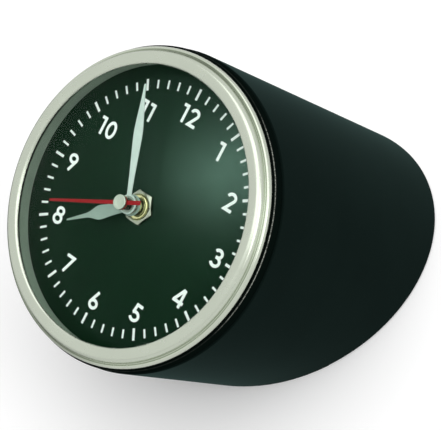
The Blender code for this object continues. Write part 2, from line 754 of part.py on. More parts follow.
def hand_outline(boss_radius, length, width, shares, tail=None):
    """A hand pointing along +y: a round boss, with sides through the shared widths to the tip."""
    right = [Vector((width * wide / 2, length * along)) for along, wide in shares]
    right = [point for point in right if point.length > boss_radius]
    root = width * shares[0][1] / 2
    start = math.acos(root / boss_radius)
    tail_half = width / 2 if tail else 0
    stop = -math.acos(tail_half / boss_radius) if tail else -math.pi / 2
    arc = [start + (stop - start) * step / ARC_STEPS for step in range(ARC_STEPS + 1)]
    side = list(reversed(right)) + [polar(boss_radius, angle) for angle in arc]
    if tail:
        side.append(Vector((tail_half, -tail)))
    mirrored = [Vector((-x, y)) for x, y in reversed(side) if x > MERGE]
    return side + mirrored


def build_hour(parent):
    """The hour wheel with its tube, and the hand pressed on the tube."""
    axis = make_empty("hour_axis", parent)
    wheel = gear_outline(HOUR_TEETH, hour_module, WHEEL_TOOTH_SHARES, hour_phase)
    stack(
        "hour_wheel",
        [
            (wheel, hour_wheel_back, hour_wheel_front),
            (circle(HOUR_TUBE_RADIUS), hour_wheel_front, hour_tube_end),
        ],
        "wheel_white",
        axis,
        bore=circle(hour_tube_bore),
    )
    outline = hand_outline(HOUR_BOSS_RADIUS, hour_hand_length, HOUR_HAND_WIDTH, HOUR_HAND_SHARES)
    boss = circle(HOUR_TUBE_RADIUS + 2 * SHAFT_GAP + HAND_THICKNESS)
    hand = stack(
        "hour_hand",
        [
            (outline, HOUR_HAND_HEIGHT, HOUR_HAND_HEIGHT + HAND_THICKNESS),
            (boss, HOUR_HAND_HEIGHT + HAND_THICKNESS, hour_tube_end),
        ],
        "hand_pale",
        axis,
        bore=circle(HOUR_TUBE_RADIUS + SHAFT_GAP),
    )
    hand.rotation_euler.z = -HOUR_HAND_ANGLE


def build_minute(parent):
    """The cannon pinion on its tube, which slips in the centre wheel when the hands are set, and the hand."""
    axis = make_empty("minute_axis", parent)
    pinion = gear_outline(CANNON_LEAVES, MOTION_MODULE, PINION_TOOTH_SHARES, cannon_phase)
    stack(
        "cannon_pinion",
        [
            (circle(MINUTE_TUBE_RADIUS), cannon_end, minute_wheel_back - LEVEL_GAP / 2),
            (pinion, minute_wheel_back - LEVEL_GAP / 2, minute_wheel_front + LEVEL_GAP / 2),
            (circle(MINUTE_TUBE_RADIUS), minute_wheel_front + LEVEL_GAP / 2, minute_tube_end),
        ],
        "brass",
        axis,
        bore=circle(MINUTE_TUBE_BORE, ARBOR_STEPS),
    )
    outline = hand_outline(MINUTE_BOSS_RADIUS, minute_hand_length, MINUTE_HAND_WIDTH, MINUTE_HAND_SHARES)
    boss = circle(MINUTE_TUBE_RADIUS + 2 * SHAFT_GAP + HAND_THICKNESS)
    hand = stack(
        "minute_hand",
        [
            (outline, MINUTE_HAND_HEIGHT, MINUTE_HAND_HEIGHT + HAND_THICKNESS),
            (boss, MINUTE_HAND_HEIGHT + HAND_THICKNESS, minute_tube_end),
        ],
        "hand_pale",
        axis,
        bore=circle(MINUTE_TUBE_RADIUS + SHAFT_GAP),
    )
    hand.rotation_euler.z = -MINUTE_HAND_ANGLE


def build_second(parent):
    """The second wheel on its long arbor, the hand on the arbor's end, and the cap over the hand."""
    axis = make_empty("second_axis", parent)
    wheel = gear_outline(SECOND_TEETH, TRAIN_MODULE, WHEEL_TOOTH_SHARES, second_phase)
    pinion = gear_outline(PINION_LEAVES, TRAIN_MODULE, PINION_TOOTH_SHARES, second_pinion_phase)
    arbor = circle(SECOND_ARBOR_RADIUS, ARBOR_STEPS)
    pinion_top = third_wheel_front + LEVEL_GAP / 2
    stack(
        "second_wheel",
        [
            (arbor, pivot_end, second_wheel_back),
            (wheel, second_wheel_back, second_wheel_front),
            (pinion, second_wheel_front, pinion_top),
            (arbor, pinion_top, second_arbor_end),
        ],
        "wheel_white",
        axis,
    )
    outline = hand_outline(
        SECOND_BOSS_RADIUS, second_hand_length, SECOND_HAND_WIDTH, SECOND_HAND_SHARES, SECOND_HAND_TAIL
    )
    hand = stack(
        "second_hand",
        [
            (circle(SECOND_TUBE_RADIUS), minute_tube_end + SEAT_GAP, SECOND_HAND_HEIGHT),
            (outline, SECOND_HAND_HEIGHT, second_hand_top),
        ],
        "hand_red",
        axis,
        bore=circle(SECOND_ARBOR_RADIUS + SHAFT_GAP, ARBOR_STEPS),
    )
    hand.rotation_euler.z = -SECOND_HAND_ANGLE
    cap = [
        (0, cap_bottom),
        (SECOND_CAP_RADIUS, cap_bottom),
        (SECOND_CAP_RADIUS, cap_top - SECOND_CAP_EDGE),
        (SECOND_CAP_RADIUS - SECOND_CAP_EDGE, cap_top),
        (0, cap_top),
    ]
    lathe("second_hand_cap", cap, "nickel", axis, TUBE_STEPS)


def build_third(parent):
    """The third wheel, whose pinion reaches forward through the train plate."""
    axis = make_empty("third_axis", parent, third_place)
    wheel = gear_outline(THIRD_TEETH, TRAIN_MODULE, WHEEL_TOOTH_SHARES, third_phase)
    pinion = gear_outline(PINION_LEAVES, centre_module, PINION_TOOTH_SHARES, third_pinion_phase)
    pivot = circle(ARBOR_RADIUS, ARBOR_STEPS)
    pinion_top = centre_wheel_front + LEVEL_GAP / 2
    sections = [
        (pivot, pivot_end, third_wheel_back),
        (wheel, third_wheel_back, third_wheel_front),
        (pinion, third_wheel_front, pinion_top),
        (pivot, pinion_top, front_pivot_end),
    ]
    stack("third_wheel", sections, "wheel_white", axis)


def build_intermediate(parent):
    """The wheel between the rotor and the second wheel."""
    axis = make_empty("intermediate_axis", parent, intermediate_place)
    wheel = gear_outline(INTERMEDIATE_TEETH, ROTOR_MODULE, WHEEL_TOOTH_SHARES, intermediate_phase)
    pinion = gear_outline(PINION_LEAVES, TRAIN_MODULE, PINION_TOOTH_SHARES, intermediate_pinion_phase)
    pivot = circle(ARBOR_RADIUS, ARBOR_STEPS)
    pinion_top = second_wheel_front + LEVEL_GAP / 2
    sections = [
        (pivot, pivot_end, intermediate_back),
        (wheel, intermediate_back, intermediate_front),
        (pinion, intermediate_front, pinion_top),
        (pivot, pinion_top, train_plate_front - SEAT_GAP),
    ]
    stack("intermediate_wheel", sections, "wheel_amber", axis)


def build_rotor(parent):
    """The motor's magnet with its pinion behind it."""
    axis = make_empty("rotor_axis", parent, rotor_place)
    pinion = gear_outline(PINION_LEAVES, ROTOR_MODULE, PINION_TOOTH_SHARES, rotor_phase)
    pivot = circle(ROTOR_PIVOT_RADIUS, ARBOR_STEPS)
    pinion_bottom = intermediate_back - LEVEL_GAP / 2
    magnet_bottom = intermediate_front + LEVEL_GAP / 2
    magnet_top = stator_front + MAGNET_OVERHANG
    sections = [
        (pivot, pivot_end, pinion_bottom),
        (pinion, pinion_bottom, magnet_bottom),
        (circle(MAGNET_RADIUS), magnet_bottom, magnet_top),
        (pivot, magnet_top, train_plate_front - SEAT_GAP),
    ]
    stack("rotor", sections, "steel", axis)


def build_motion_work(parent):
    """The centre wheel round the cannon pinion's tail, and the minute wheel beside it."""
    centre = make_empty("centre_axis", parent)
    outline = gear_outline(CENTRE_TEETH, centre_module, WHEEL_TOOTH_SHARES, centre_phase)
    bore = circle(MINUTE_TUBE_RADIUS + SHAFT_GAP)
    sections = [(outline, centre_wheel_back, centre_wheel_front)]
    stack("centre_wheel", sections, "wheel_amber", centre, bore=bore)
    axis = make_empty("minute_wheel_axis", parent, minute_place)
    wheel = gear_outline(MINUTE_TEETH, MOTION_MODULE, WHEEL_TOOTH_SHARES, minute_phase)
    pinion = gear_outline(MINUTE_PINION_LEAVES, hour_module, PINION_TOOTH_SHARES, minute_pinion_phase)
    pivot = circle(ARBOR_RADIUS, ARBOR_STEPS)
    pinion_top = hour_wheel_front + LEVEL_GAP / 2
    sections = [
        (pivot, minute_wheel_back - LEVEL_GAP / 2, minute_wheel_back),
        (wheel, minute_wheel_back, minute_wheel_front),
        (pinion, minute_wheel_front, pinion_top),
        (pivot, pinion_top, front_pivot_end),
    ]
    stack("minute_wheel", sections, "wheel_white", axis)


def build_setting_knob(parent):
    """The knob behind the movement, with the arbor and the pinion that turn the hands."""
    axis = make_empty("setting_axis", parent, setting_place)
    steps = 2 * KNOB_GRIPS
    grips = [
        polar(KNOB_RADIUS - KNOB_GRIP_DEPTH * (step % 2), math.tau * step / steps) for step in range(steps)
    ]
    pinion = gear_outline(SETTING_LEAVES, MOTION_MODULE, PINION_TOOTH_SHARES, setting_phase)
    pinion_bottom = minute_wheel_back - LEVEL_GAP / 2
    pinion_top = minute_wheel_front + LEVEL_GAP / 2
    sections = [
        (grips, knob_back, knob_front),
        (circle(KNOB_ARBOR_RADIUS, ARBOR_STEPS), knob_front, pinion_bottom),
        (pinion, pinion_bottom, pinion_top),
        (circle(ARBOR_RADIUS, ARBOR_STEPS), pinion_top, front_pivot_end),
    ]
    stack("setting_knob", sections, "movement_black", axis)


def hole_at(place, radius):
    return moved(circle(radius, ARBOR_STEPS), place)


def build_movement_shell(parent):
    """The moulded box with the battery bay, the cover over the wheels, and the plate between them."""
    outline = rounded_box(
        inner_left - SHELL, inner_right + SHELL, bay_bottom - SHELL, inner_top + SHELL, SHELL_CORNER
    )
    box = plate(
        "movement_case",
        outline,
        [circle(BUSH_RADIUS + SEAT_GAP)],
        cover_back,
        shell_front,
        "movement_black",
        parent,
    )
    train = rounded_box(inner_left, inner_right, train_bottom, inner_top, POCKET_CORNER)
    bay = rounded_box(-bay_half, bay_half, bay_bottom, bay_top, POCKET_CORNER)
    cut_with(box, "train_pocket", train, cover_back - OVERRUN, plate_back)
    cut_with(box, "battery_pocket", bay, cover_back - OVERRUN, plate_back)
    pivot_hole = ARBOR_RADIUS + SHAFT_GAP
    for name, place in (("third", third_place), ("minute_wheel", minute_place), ("setting", setting_place)):
        hole = hole_at(place, pivot_hole)
        cut_with(box, f"{name}_front_hole", hole, plate_back - SEAT_GAP, plate_back + PIVOT_HOLE_DEPTH)
    build_back_cover(parent)
    holes = [
        circle(SECOND_ARBOR_RADIUS + SHAFT_GAP, ARBOR_STEPS),
        hole_at(third_place, outer_radius(PINION_LEAVES, centre_module, PINION_TOOTH_SHARES) + SHAFT_GAP),
        hole_at(setting_place, KNOB_ARBOR_RADIUS + SHAFT_GAP),
        hole_at(intermediate_place, pivot_hole),
        hole_at(rotor_place, ROTOR_PIVOT_RADIUS + SHAFT_GAP),
    ]
    outline = rounded_box(
        inner_left + SEAT_GAP, inner_right - SEAT_GAP, train_bottom + SEAT_GAP, train_plate_top, POCKET_CORNER
    )
    plate("train_plate", outline, holes, train_plate_back, train_plate_front, "wheel_white", parent)


def build_back_cover(parent):
    outline = rounded_box(
        inner_left + SEAT_GAP,
        inner_right - SEAT_GAP,
        train_bottom + SEAT_GAP,
        inner_top - SEAT_GAP,
        POCKET_CORNER,
    )
    knob_hole = hole_at(setting_place, KNOB_ARBOR_RADIUS + SHAFT_GAP)
    cover = plate(
        "movement_back_cover", outline, [knob_hole], cover_back, cover_front, "movement_black", parent
    )
    for name, place, radius in (
        ("second", Vector((0, 0)), SECOND_ARBOR_RADIUS),
        ("third", third_place, ARBOR_RADIUS),
        ("intermediate", intermediate_place, ARBOR_RADIUS),
        ("rotor", rotor_place, ROTOR_PIVOT_RADIUS),
    ):
        hole = hole_at(place, radius + SHAFT_GAP)
        cut_with(cover, f"{name}_back_hole", hole, cover_front - PIVOT_HOLE_DEPTH, cover_front + SEAT_GAP)


def build_motor(parent):
    """The stator with its rotor hole, and the coil on its core across the stator's arms."""
    outline = [
        Vector(point)
        for point in (
            (stator_left, stator_bottom),
            (stator_step_x, stator_bottom),
            (stator_step_x, stator_step_y),
            (stator_right, stator_step_y),
            (stator_right, stator_top),
            (arm_right, stator_top),
            (arm_right, stator_bar_top),
            (arm_left, stator_bar_top),
            (arm_left, stator_top),
            (stator_left, stator_top),
        )
    ]
    hole = moved(circle(stator_hole), rotor_place)
    plate("stator_plate", outline, [hole], stator_back, stator_front, "steel", parent)
    core = rounded_box(
        stator_left + CORE_INSET,
        stator_right - CORE_INSET,
        coil_y - CORE_WIDTH / 2,
        coil_y + CORE_WIDTH / 2,
        CORE_INSET,
    )
    plate("coil_core", core, [], core_back, core_back + CORE_THICKNESS, "steel", parent)
    turn = Matrix.Translation((coil_x, coil_y, coil_z)) @ Matrix.Rotation(math.pi / 2, 4, "Y")
    half = COIL_LENGTH / 2
    barrel = BOBBIN_BORE + BOBBIN_WALL
    bobbin = [
        (BOBBIN_BORE, -half),
        (COIL_RADIUS, -half),
        (COIL_RADIUS, BOBBIN_FLANGE - half),
        (barrel, BOBBIN_FLANGE - half),
        (barrel, half - BOBBIN_FLANGE),
        (COIL_RADIUS, half - BOBBIN_FLANGE),
        (COIL_RADIUS, half),
        (BOBBIN_BORE, half),
    ]
    lathe("coil_bobbin", bobbin, "wheel_white", parent, TUBE_STEPS, turn)
    wound = half - BOBBIN_FLANGE - SHAFT_GAP
    winding = [
        (barrel + SHAFT_GAP, -wound),
        (COIL_RADIUS - SHAFT_GAP, -wound),
        (COIL_RADIUS - SHAFT_GAP, wound),
        (barrel + SHAFT_GAP, wound),
    ]
    lathe("coil_winding", winding, "copper", parent, TUBE_STEPS, turn)


def build_electronics(parent):
    """The circuit board in the corner beside the coil, and the crystal on it."""
    right = inner_right - SEAT_GAP
    top = inner_top - SEAT_GAP
    board = rounded_box(right - BOARD_WIDTH, right, top - BOARD_HEIGHT, top, POCKET_CORNER)
    plate("circuit_board", board, [], board_back, board_front, "board_green", parent)
    place = (right - BOARD_WIDTH / 2, top - BOARD_HEIGHT / 2, board_back - SEAT_GAP - CRYSTAL_RADIUS)
    turn = Matrix.Translation(place) @ Matrix.Rotation(math.pi / 2, 4, "Y")
    half = CRYSTAL_LENGTH / 2
    can = [(0, -half), (CRYSTAL_RADIUS, -half), (CRYSTAL_RADIUS, half), (0, half)]
    lathe("quartz_crystal", can, "nickel", parent, ARBOR_STEPS, turn)


def build_battery(parent):
    """The AA cell with its nub to the right, between two bowed contact strips."""
    turn = Matrix.Translation((0, battery_y, battery_z)) @ Matrix.Rotation(math.pi / 2, 4, "Y")
    shoulder = battery_half - BATTERY_NUB
    cell = [
        (0, -battery_half),
        (BATTERY_RADIUS - BATTERY_EDGE, -battery_half),
        (BATTERY_RADIUS, BATTERY_EDGE - battery_half),
        (BATTERY_RADIUS, shoulder - BATTERY_EDGE),
        (BATTERY_RADIUS - BATTERY_EDGE, shoulder),
        (BATTERY_NUB_RADIUS, shoulder),
        (BATTERY_NUB_RADIUS, battery_half),
        (0, battery_half),
    ]
    lathe("battery_cell", cell, "battery_wrap", parent, TUBE_STEPS, turn)
    for name, side in (("plus", 1), ("minus", -1)):
        wall = bay_half - SEAT_GAP
        near = [
            Vector((side * (wall - CONTACT_BOW * bow), battery_y + across * CONTACT_WIDTH / 2))
            for across, bow in CONTACT_SHARES
        ]
        far = [point - Vector((side * CONTACT_THICKNESS, 0)) for point in reversed(near)]
        bottom = battery_z - CONTACT_HEIGHT / 2
        plate(f"battery_contact_{name}", near + far, [], bottom, bottom + CONTACT_HEIGHT, "nickel", parent)


# Where each gear's teeth stand. A wheel and its own pinion may stand at any angle to each other
second_phase = 0.0
second_pinion_phase = 0.0
third_pinion_phase = 0.0
intermediate_phase = 0.0
cannon_phase = 0.0
minute_pinion_phase = 0.0
third_phase = meshing_phase(second_pinion_phase, PINION_LEAVES, THIRD_TEETH, THIRD_BEARING)
centre_phase = meshing_phase(third_pinion_phase, PINION_LEAVES, CENTRE_TEETH, THIRD_BEARING + math.pi)
intermediate_pinion_phase = meshing_phase(second_phase, SECOND_TEETH, PINION_LEAVES, INTERMEDIATE_BEARING)
rotor_phase = meshing_phase(intermediate_phase, INTERMEDIATE_TEETH, PINION_LEAVES, ROTOR_BEARING)
minute_phase = meshing_phase(cannon_phase, CANNON_LEAVES, MINUTE_TEETH, MINUTE_WHEEL_BEARING)
hour_bearing = MINUTE_WHEEL_BEARING + math.pi
hour_phase = meshing_phase(minute_pinion_phase, MINUTE_PINION_LEAVES, HOUR_TEETH, hour_bearing)
setting_phase = meshing_phase(minute_phase, MINUTE_TEETH, SETTING_LEAVES, SETTING_BEARING)


def main():
    clear_scene()
    frame = make_empty("dial_frame")
    frame.matrix_world = dial_matrix
    build_feet()
    build_housing(frame)
    build_front(frame)
    build_bush(frame)
    build_movement_shell(frame)
    build_battery(frame)
    build_motor(frame)
    build_electronics(frame)
    build_rotor(frame)
    build_intermediate(frame)
    build_second(frame)
    build_third(frame)
    build_motion_work(frame)
    build_minute(frame)
    build_hour(frame)
    build_setting_knob(frame)


main()
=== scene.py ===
"""The looks of a round desk clock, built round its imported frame.

Lengths are in metres. The clock is modelled in its dial frame: the origin is the dial's centre on its front
surface, x points to 3 o'clock, y to 12 o'clock, and z out of the dial. Textures read in that frame too.
"""

import json
import math

import bmesh
import bpy
from mathutils import Matrix, Vector
from mathutils.geometry import delaunay_2d_cdt


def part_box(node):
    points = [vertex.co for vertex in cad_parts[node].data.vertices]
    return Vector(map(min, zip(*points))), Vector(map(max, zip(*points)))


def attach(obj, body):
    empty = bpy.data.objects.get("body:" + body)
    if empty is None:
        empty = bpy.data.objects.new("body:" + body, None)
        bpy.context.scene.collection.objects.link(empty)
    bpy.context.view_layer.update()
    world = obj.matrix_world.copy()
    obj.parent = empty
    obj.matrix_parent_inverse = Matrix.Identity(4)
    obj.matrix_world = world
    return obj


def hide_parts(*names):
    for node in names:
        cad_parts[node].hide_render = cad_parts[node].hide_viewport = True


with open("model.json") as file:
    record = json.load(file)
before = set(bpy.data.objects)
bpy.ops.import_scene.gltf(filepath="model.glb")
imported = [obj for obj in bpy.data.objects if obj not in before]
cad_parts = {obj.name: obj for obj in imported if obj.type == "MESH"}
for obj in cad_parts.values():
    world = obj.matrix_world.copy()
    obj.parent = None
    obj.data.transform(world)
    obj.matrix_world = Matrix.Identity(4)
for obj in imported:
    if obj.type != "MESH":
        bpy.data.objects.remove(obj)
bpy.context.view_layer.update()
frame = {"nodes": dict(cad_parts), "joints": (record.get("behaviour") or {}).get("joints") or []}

MM = 0.001
MERGE = 0.00001 * MM
SMOOTH_ANGLE = math.radians(35)
RINGS_DOWN = 1.7  # how much closer turning marks lie along the axis than across it

# Facets
RING_STEPS = 192
BATTERY_STEPS = 96
HUB_STEPS = 64
COIL_STEPS = 48
LENS_STEPS = 24
BOSS_STEPS = 20
CURVE_STEPS = 6
FILLET_STEPS = 4
BEVEL_SEGMENTS = 2

# The photograph's camera, in the dial frame: its place, and its right, down and forward directions. Its focal
# length is in widths of the picture
CAMERA_PLACE = Vector((274.6, 71.2, 361.3)) * MM
CAMERA_RIGHT = Vector((0.69963, 0.45780, -0.54858))
CAMERA_DOWN = Vector((0.44872, -0.87900, -0.16126))
CAMERA_FORWARD = Vector((-0.55603, -0.13334, -0.82040))
CAMERA_FOCAL_WIDTHS = 3.1325
CAMERA_CLIP = (0.01, 20.0)
SENSOR_WIDTH = 36.0

# Housing
FRONT_FILLET_MM, INNER_FILLET_MM = 0.6, 0.3
SAWN_BEVEL = 0.25 * MM

# Bezel: (share of the way from the lip to the rim, share of the height) along the broad band and the bead
BAND_SHARES = [
    (-0.02, 0.72), (0.01, 0.80), (0.06, 0.855), (0.14, 0.885), (0.27, 0.905), (0.42, 0.905), (0.54, 0.88),
    (0.63, 0.80), (0.69, 0.68), (0.725, 0.56), (0.75, 0.46), (0.765, 0.41),
]
BEAD_SHARES = [
    (0.765, 0.41), (0.79, 0.395), (0.82, 0.42), (0.875, 0.455), (0.935, 0.425), (0.98, 0.33), (1.00, 0.19),
    (0.99, 0.06), (0.96, 0.00),
]
GROOVE_SHARES = (0.70, 0.82)
GROOVE_FADES = (0.5 * MM, 0.3 * MM)
LIP_THICKNESS = 0.15 * MM
LENS_FIT = 0.3 * MM

# Marks of age and painted light. Each lies towards one direction, an angle from 3 o'clock, and grows along a
# span (start, stop) in shares of the radius. A band (start, stop) is measured inwards from the edge, and a
# depth down from it
# Grime in the bezel's groove, faint all round and darkened towards 12 o'clock as a painted dark reflection
GRIME_AND_REFLECTION_ANGLE, GRIME_AND_REFLECTION_SPAN = math.radians(75), (0.60, 0.95)
# Painted shade: a darker band along the bezel's outer edge, towards the lower left
EDGE_SHADE_ANGLE, EDGE_SHADE_SPAN, EDGE_SHADE_BAND = math.radians(225), (0.30, 0.90), (2.85 * MM, 2.45 * MM)
# Pale speckles on the flange's edge: chips, and a painted highlight on the side towards 3 o'clock
CHIPS_AND_HIGHLIGHT_ANGLE, CHIPS_AND_HIGHLIGHT_SPAN, CHIPS_AND_HIGHLIGHT_BAND = math.radians(20), (0.74, 0.93), (0.42 * MM, 0.22 * MM)
CHIPS_AND_HIGHLIGHT_DEPTH = (0.30 * MM, 0.12 * MM)

# Dial print
TRACK_RADIUS = 41.93 * MM
MINUTE_TICK = Vector((2.95, 0.77)) * MM
HOUR_TICK = Vector((4.0, 0.96)) * MM
PRINT_THICKNESS = 0.03 * MM
NUMERAL_PLACES_MM = [
    (18.0, 29.7), (30.6, 17.5), (36.0, 0.1), (30.3, -17.4), (17.8, -30.0), (0.5, -34.9),
    (-16.7, -30.1), (-30.0, -18.0), (-35.3, 0.0), (-28.0, 16.6), (-16.3, 28.8), (0.8, 34.5),
]
NUMERAL_HEIGHT = 6.35 * MM
STROKE_SHARE = 0.172
BOWL_STRETCH = 1.19
DIGIT_GAP_SHARE = 0.15
ARC_DEGREES = 9
JOINED = 0.001

# Insert case and dial ring
SEAT_GAP = 0.3 * MM
SHAFT_GAP = 0.1 * MM
CASE_WALL = 1.4 * MM
CASE_FLOOR = 1.6 * MM
RING_LIP = 0.5 * MM
LENS_THICKNESS = 1.6 * MM

# Hands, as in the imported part: boss radius, widest width, and (share of length, share of width) along a side
HAND_THICKNESS = 0.35 * MM
HAND_BEVEL = 0.09 * MM
TIP_REACH = 0.2 * MM
HOUR_COLLAR_WALL, MINUTE_COLLAR_WALL, COLLAR_DROP = 0.5 * MM, 1.15 * MM, 0.1 * MM
SLEEVE_WALL, SLEEVE_SKIN, SLEEVE_PROUD = 0.15 * MM, 0.01 * MM, 0.02 * MM
HOUR_BOSS, HOUR_WIDTH, HOUR_TUBE = 3.6 * MM, 5.0 * MM, 2.5 * MM
HOUR_SHARES = [
    (0.10, 0.66), (0.30, 0.80), (0.44, 0.97), (0.49, 1.00), (0.535, 0.89), (0.58, 0.68), (0.63, 0.46),
    (0.67, 0.35), (0.72, 0.285), (0.82, 0.23), (1.00, 0.10),
]
MINUTE_BOSS, MINUTE_WIDTH, MINUTE_TUBE = 3.3 * MM, 3.6 * MM, 1.6 * MM
MINUTE_SHARES = [
    (0.05, 0.50), (0.15, 0.55), (0.24, 0.61), (0.36, 0.77), (0.46, 0.90), (0.55, 0.99), (0.61, 1.00),
    (0.70, 0.82), (0.80, 0.56), (0.92, 0.28), (1.00, 0.17),
]
SECOND_BOSS, SECOND_WIDTH, SECOND_TAIL = 2.4 * MM, 1.4 * MM, 7.8 * MM
SECOND_SHARES = [(0.00, 1.00), (1.00, 0.62)]
SECOND_BORE, SECOND_SOCKET = 0.7 * MM, 2.1 * MM
FERRULE_HEIGHT, FERRULE_LIP, FERRULE_BITE = 0.45 * MM, 0.25 * MM, 0.02 * MM
CAP_FOOT = 0.1 * MM
CAP_DISH_MM = [(1.5, 0.0), (1.4, 0.04), (0.7, 0.05), (0.6, 0.02), (0.0, 0.02)]  # radius, depth

# Hub
THREAD_PITCH, THREAD_DEPTH = 0.75 * MM, 0.16 * MM
BUSH_CHAMFER, BUSH_MOUTH, BUSH_MOUTH_DEPTH = 0.2 * MM, 0.12 * MM, 0.3 * MM
NUT_CHAMFER_SLOPE = 0.55
NUT_FACE_SHARE = 0.955
NUT_MOUTH = 0.4 * MM

# Movement
SHELL = 1.2 * MM
BATTERY_NUB, BATTERY_NUB_RADIUS = 1.0 * MM, 2.75 * MM
BATTERY_FOOT_SHARES = (0.55, 0.60, 0.86)
BATTERY_HOLLOW = 0.25 * MM
BATTERY_CRIMP_SHARE, BATTERY_CRIMP, BATTERY_SEAL = 0.62, 0.3 * MM, 0.2 * MM
BATTERY_BAND, BAND_BLUR = 12.0 * MM, 0.05 * MM
WIRE_PITCH, WIRE_STEPS = 0.35 * MM, 4
TRACK_SIZE = 6 * MM

# Floor and light. A lamp is its name, direction from the clock, distance, size and power
FLOOR_SIZE = 30.0
FLOOR_COLOUR = (0.86, 0.86, 0.86)
FLOOR_GLOW = 0.18
WORLD_LIGHT = 0.70
LAMPS = [
    ("overhead_box", (0.15, 0.05, 0.98), 1.2, (1.50, 1.50), 8.0),
    ("side_box", (0.95, 0.25, 0.45), 1.3, (0.80, 0.80), 3.9),
]
DIAL_LAMP = ("dial_box", (-0.5481, -0.4839, 0.6823), 1.083, (0.05, 0.10), 1.0)


# -----------------------------------------------------------------------------
# The dial frame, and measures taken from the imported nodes
# -----------------------------------------------------------------------------

joints = {joint["name"]: joint for joint in frame["joints"]}
dial_normal = -Vector(joints["second_hand_spin"]["axis"]).normalized()
dial_right = Vector((1, 0, 0))
dial_up = dial_normal.cross(dial_right)
dial_matrix = Matrix((dial_right, dial_up, dial_normal)).transposed().to_4x4()
dial_matrix.translation = Vector(joints["second_hand_spin"]["pos_m"])
to_dial = dial_matrix.inverted()


def points_of(node, inverse=to_dial):
    """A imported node's points, in the dial's frame or another."""
    return [inverse @ vertex.co for vertex in frame["nodes"][node].data.vertices]


def span(node, inverse=to_dial):
    """(least radius, greatest radius, least height, greatest height) of a node about a frame's z axis."""
    points = points_of(node, inverse)
    radii = [math.hypot(point.x, point.y) for point in points]
    heights = [point.z for point in points]
    return min(radii), max(radii), min(heights), max(heights)


def hand_pose(node):
    """(turn about the dial's axis, length) of a packed hand, read from its farthest points."""
    reach = span(node)[1]
    tips = [point.xy for point in points_of(node) if point.xy.length > reach - TIP_REACH]
    tip = sum(tips, Vector((0, 0))) / len(tips)
    return math.atan2(tip.y, tip.x) - math.pi / 2, tip.length


def axial_matrix(node):
    """A frame at a node's middle whose z axis is the dial's x axis, and the node's radius and half length."""
    low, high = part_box(node)
    half = (high.x - low.x) / 2
    points = points_of(node)
    least = [min(point[axis] for point in points) for axis in range(3)]
    most = [max(point[axis] for point in points) for axis in range(3)]
    middle = [(start + stop) / 2 for start, stop in zip(least, most)]
    matrix = dial_matrix @ Matrix.Translation(middle) @ Matrix.Rotation(math.pi / 2, 4, "Y")
    return matrix, (most[1] - least[1]) / 2, half


def polar(radius, angle):
    """The flat point at a radius and an angle from the x axis."""
    return Vector((radius * math.cos(angle), radius * math.sin(angle)))


# The lens's outer surface is a sphere through its edge and its top
_, lens_rim, lens_edge, lens_top = span("lens_glass")
lens_rise = lens_top - LENS_THICKNESS - lens_edge
lens_curve = (lens_rim**2 + lens_rise**2) / (2 * lens_rise)


def lens_surface(radius):
    """The height of the lens's outer surface."""
    return lens_top - (lens_curve - math.sqrt(lens_curve**2 - radius**2))


# -----------------------------------------------------------------------------
# Shapes
# -----------------------------------------------------------------------------


def spline(points):
    """A smooth curve through the points (Catmull-Rom), with its ends kept."""
    points = [Vector(point) for point in points]
    padded = [2 * points[0] - points[1], *points, 2 * points[-1] - points[-2]]
    curve = []
    for a, b, c, d in zip(padded, padded[1:], padded[2:], padded[3:]):
        for step in range(CURVE_STEPS):
            t = step / CURVE_STEPS
            square = (2 * a - 5 * b + 4 * c - d) * t**2
            cube = (3 * b - a - 3 * c + d) * t**3
            curve.append(0.5 * (2 * b + (c - a) * t + square + cube))
    return curve + [points[-1]]


def filleted(corners, closed=True):
    """The outline through (x, y, fillet radius in mm) corners, with each corner rounded by its radius."""
    outline = []
    count = len(corners)
    for index, (x, y, radius) in enumerate(corners):
        here = Vector((x, y))
        if not radius or (not closed and index in (0, count - 1)):
            outline.append(here)
            continue
        before = (Vector(corners[index - 1][:2]) - here).normalized()
        after = (Vector(corners[(index + 1) % count][:2]) - here).normalized()
        half = before.angle(after) / 2
        reach = radius * MM / math.tan(half)
        centre = here + (before + after).normalized() * (radius * MM / math.sin(half))
        start = here + before * reach - centre
        turn = start.angle_signed(here + after * reach - centre)
        for step in range(FILLET_STEPS + 1):
            arm = start.copy()
            arm.rotate(Matrix.Rotation(-turn * step / FILLET_STEPS, 2))
            outline.append(centre + arm)
    return outline


def spun(outline, steps=RING_STEPS):
    """An outline of (radius, height) spun round the z axis, as a bmesh. It may start or end on the axis."""
    bm = bmesh.new()
    points = [bm.verts.new((point[0], 0, point[1])) for point in outline]
    edges = [bm.edges.new(pair) for pair in zip(points, points[1:])]
    if outline[0][0] or outline[-1][0]:
        edges.append(bm.edges.new((points[-1], points[0])))
    bmesh.ops.spin(
        bm, geom=points + edges, cent=(0, 0, 0), axis=(0, 0, 1), angle=math.tau, steps=steps, use_merge=True
    )
    bmesh.ops.remove_doubles(bm, verts=bm.verts, dist=MERGE)
    return bm


def extruded(outline, holes, bottom, top):
    """A flat outline with holes, made solid between two heights, as a bmesh."""
    bm = bmesh.new()
    edges = []
    for loop in [outline, *holes]:
        points = [bm.verts.new((point[0], point[1], bottom)) for point in loop]
        edges += [bm.edges.new(pair) for pair in zip(points, points[1:] + points[:1])]
    bmesh.ops.triangle_fill(bm, use_beauty=True, use_dissolve=False, edges=edges, normal=(0, 0, 1))
    thicken(bm, top - bottom)
    return bm


def thicken(bm, height):
    """Grows flat faces upwards into a solid."""
    grown = bmesh.ops.extrude_face_region(bm, geom=bm.faces[:])
    upper = [item for item in grown["geom"] if isinstance(item, bmesh.types.BMVert)]
    bmesh.ops.translate(bm, vec=(0, 0, height), verts=upper)


def circle(radius):
    """A round outline about the z axis."""
    return [polar(radius, math.tau * step / HUB_STEPS) for step in range(HUB_STEPS)]


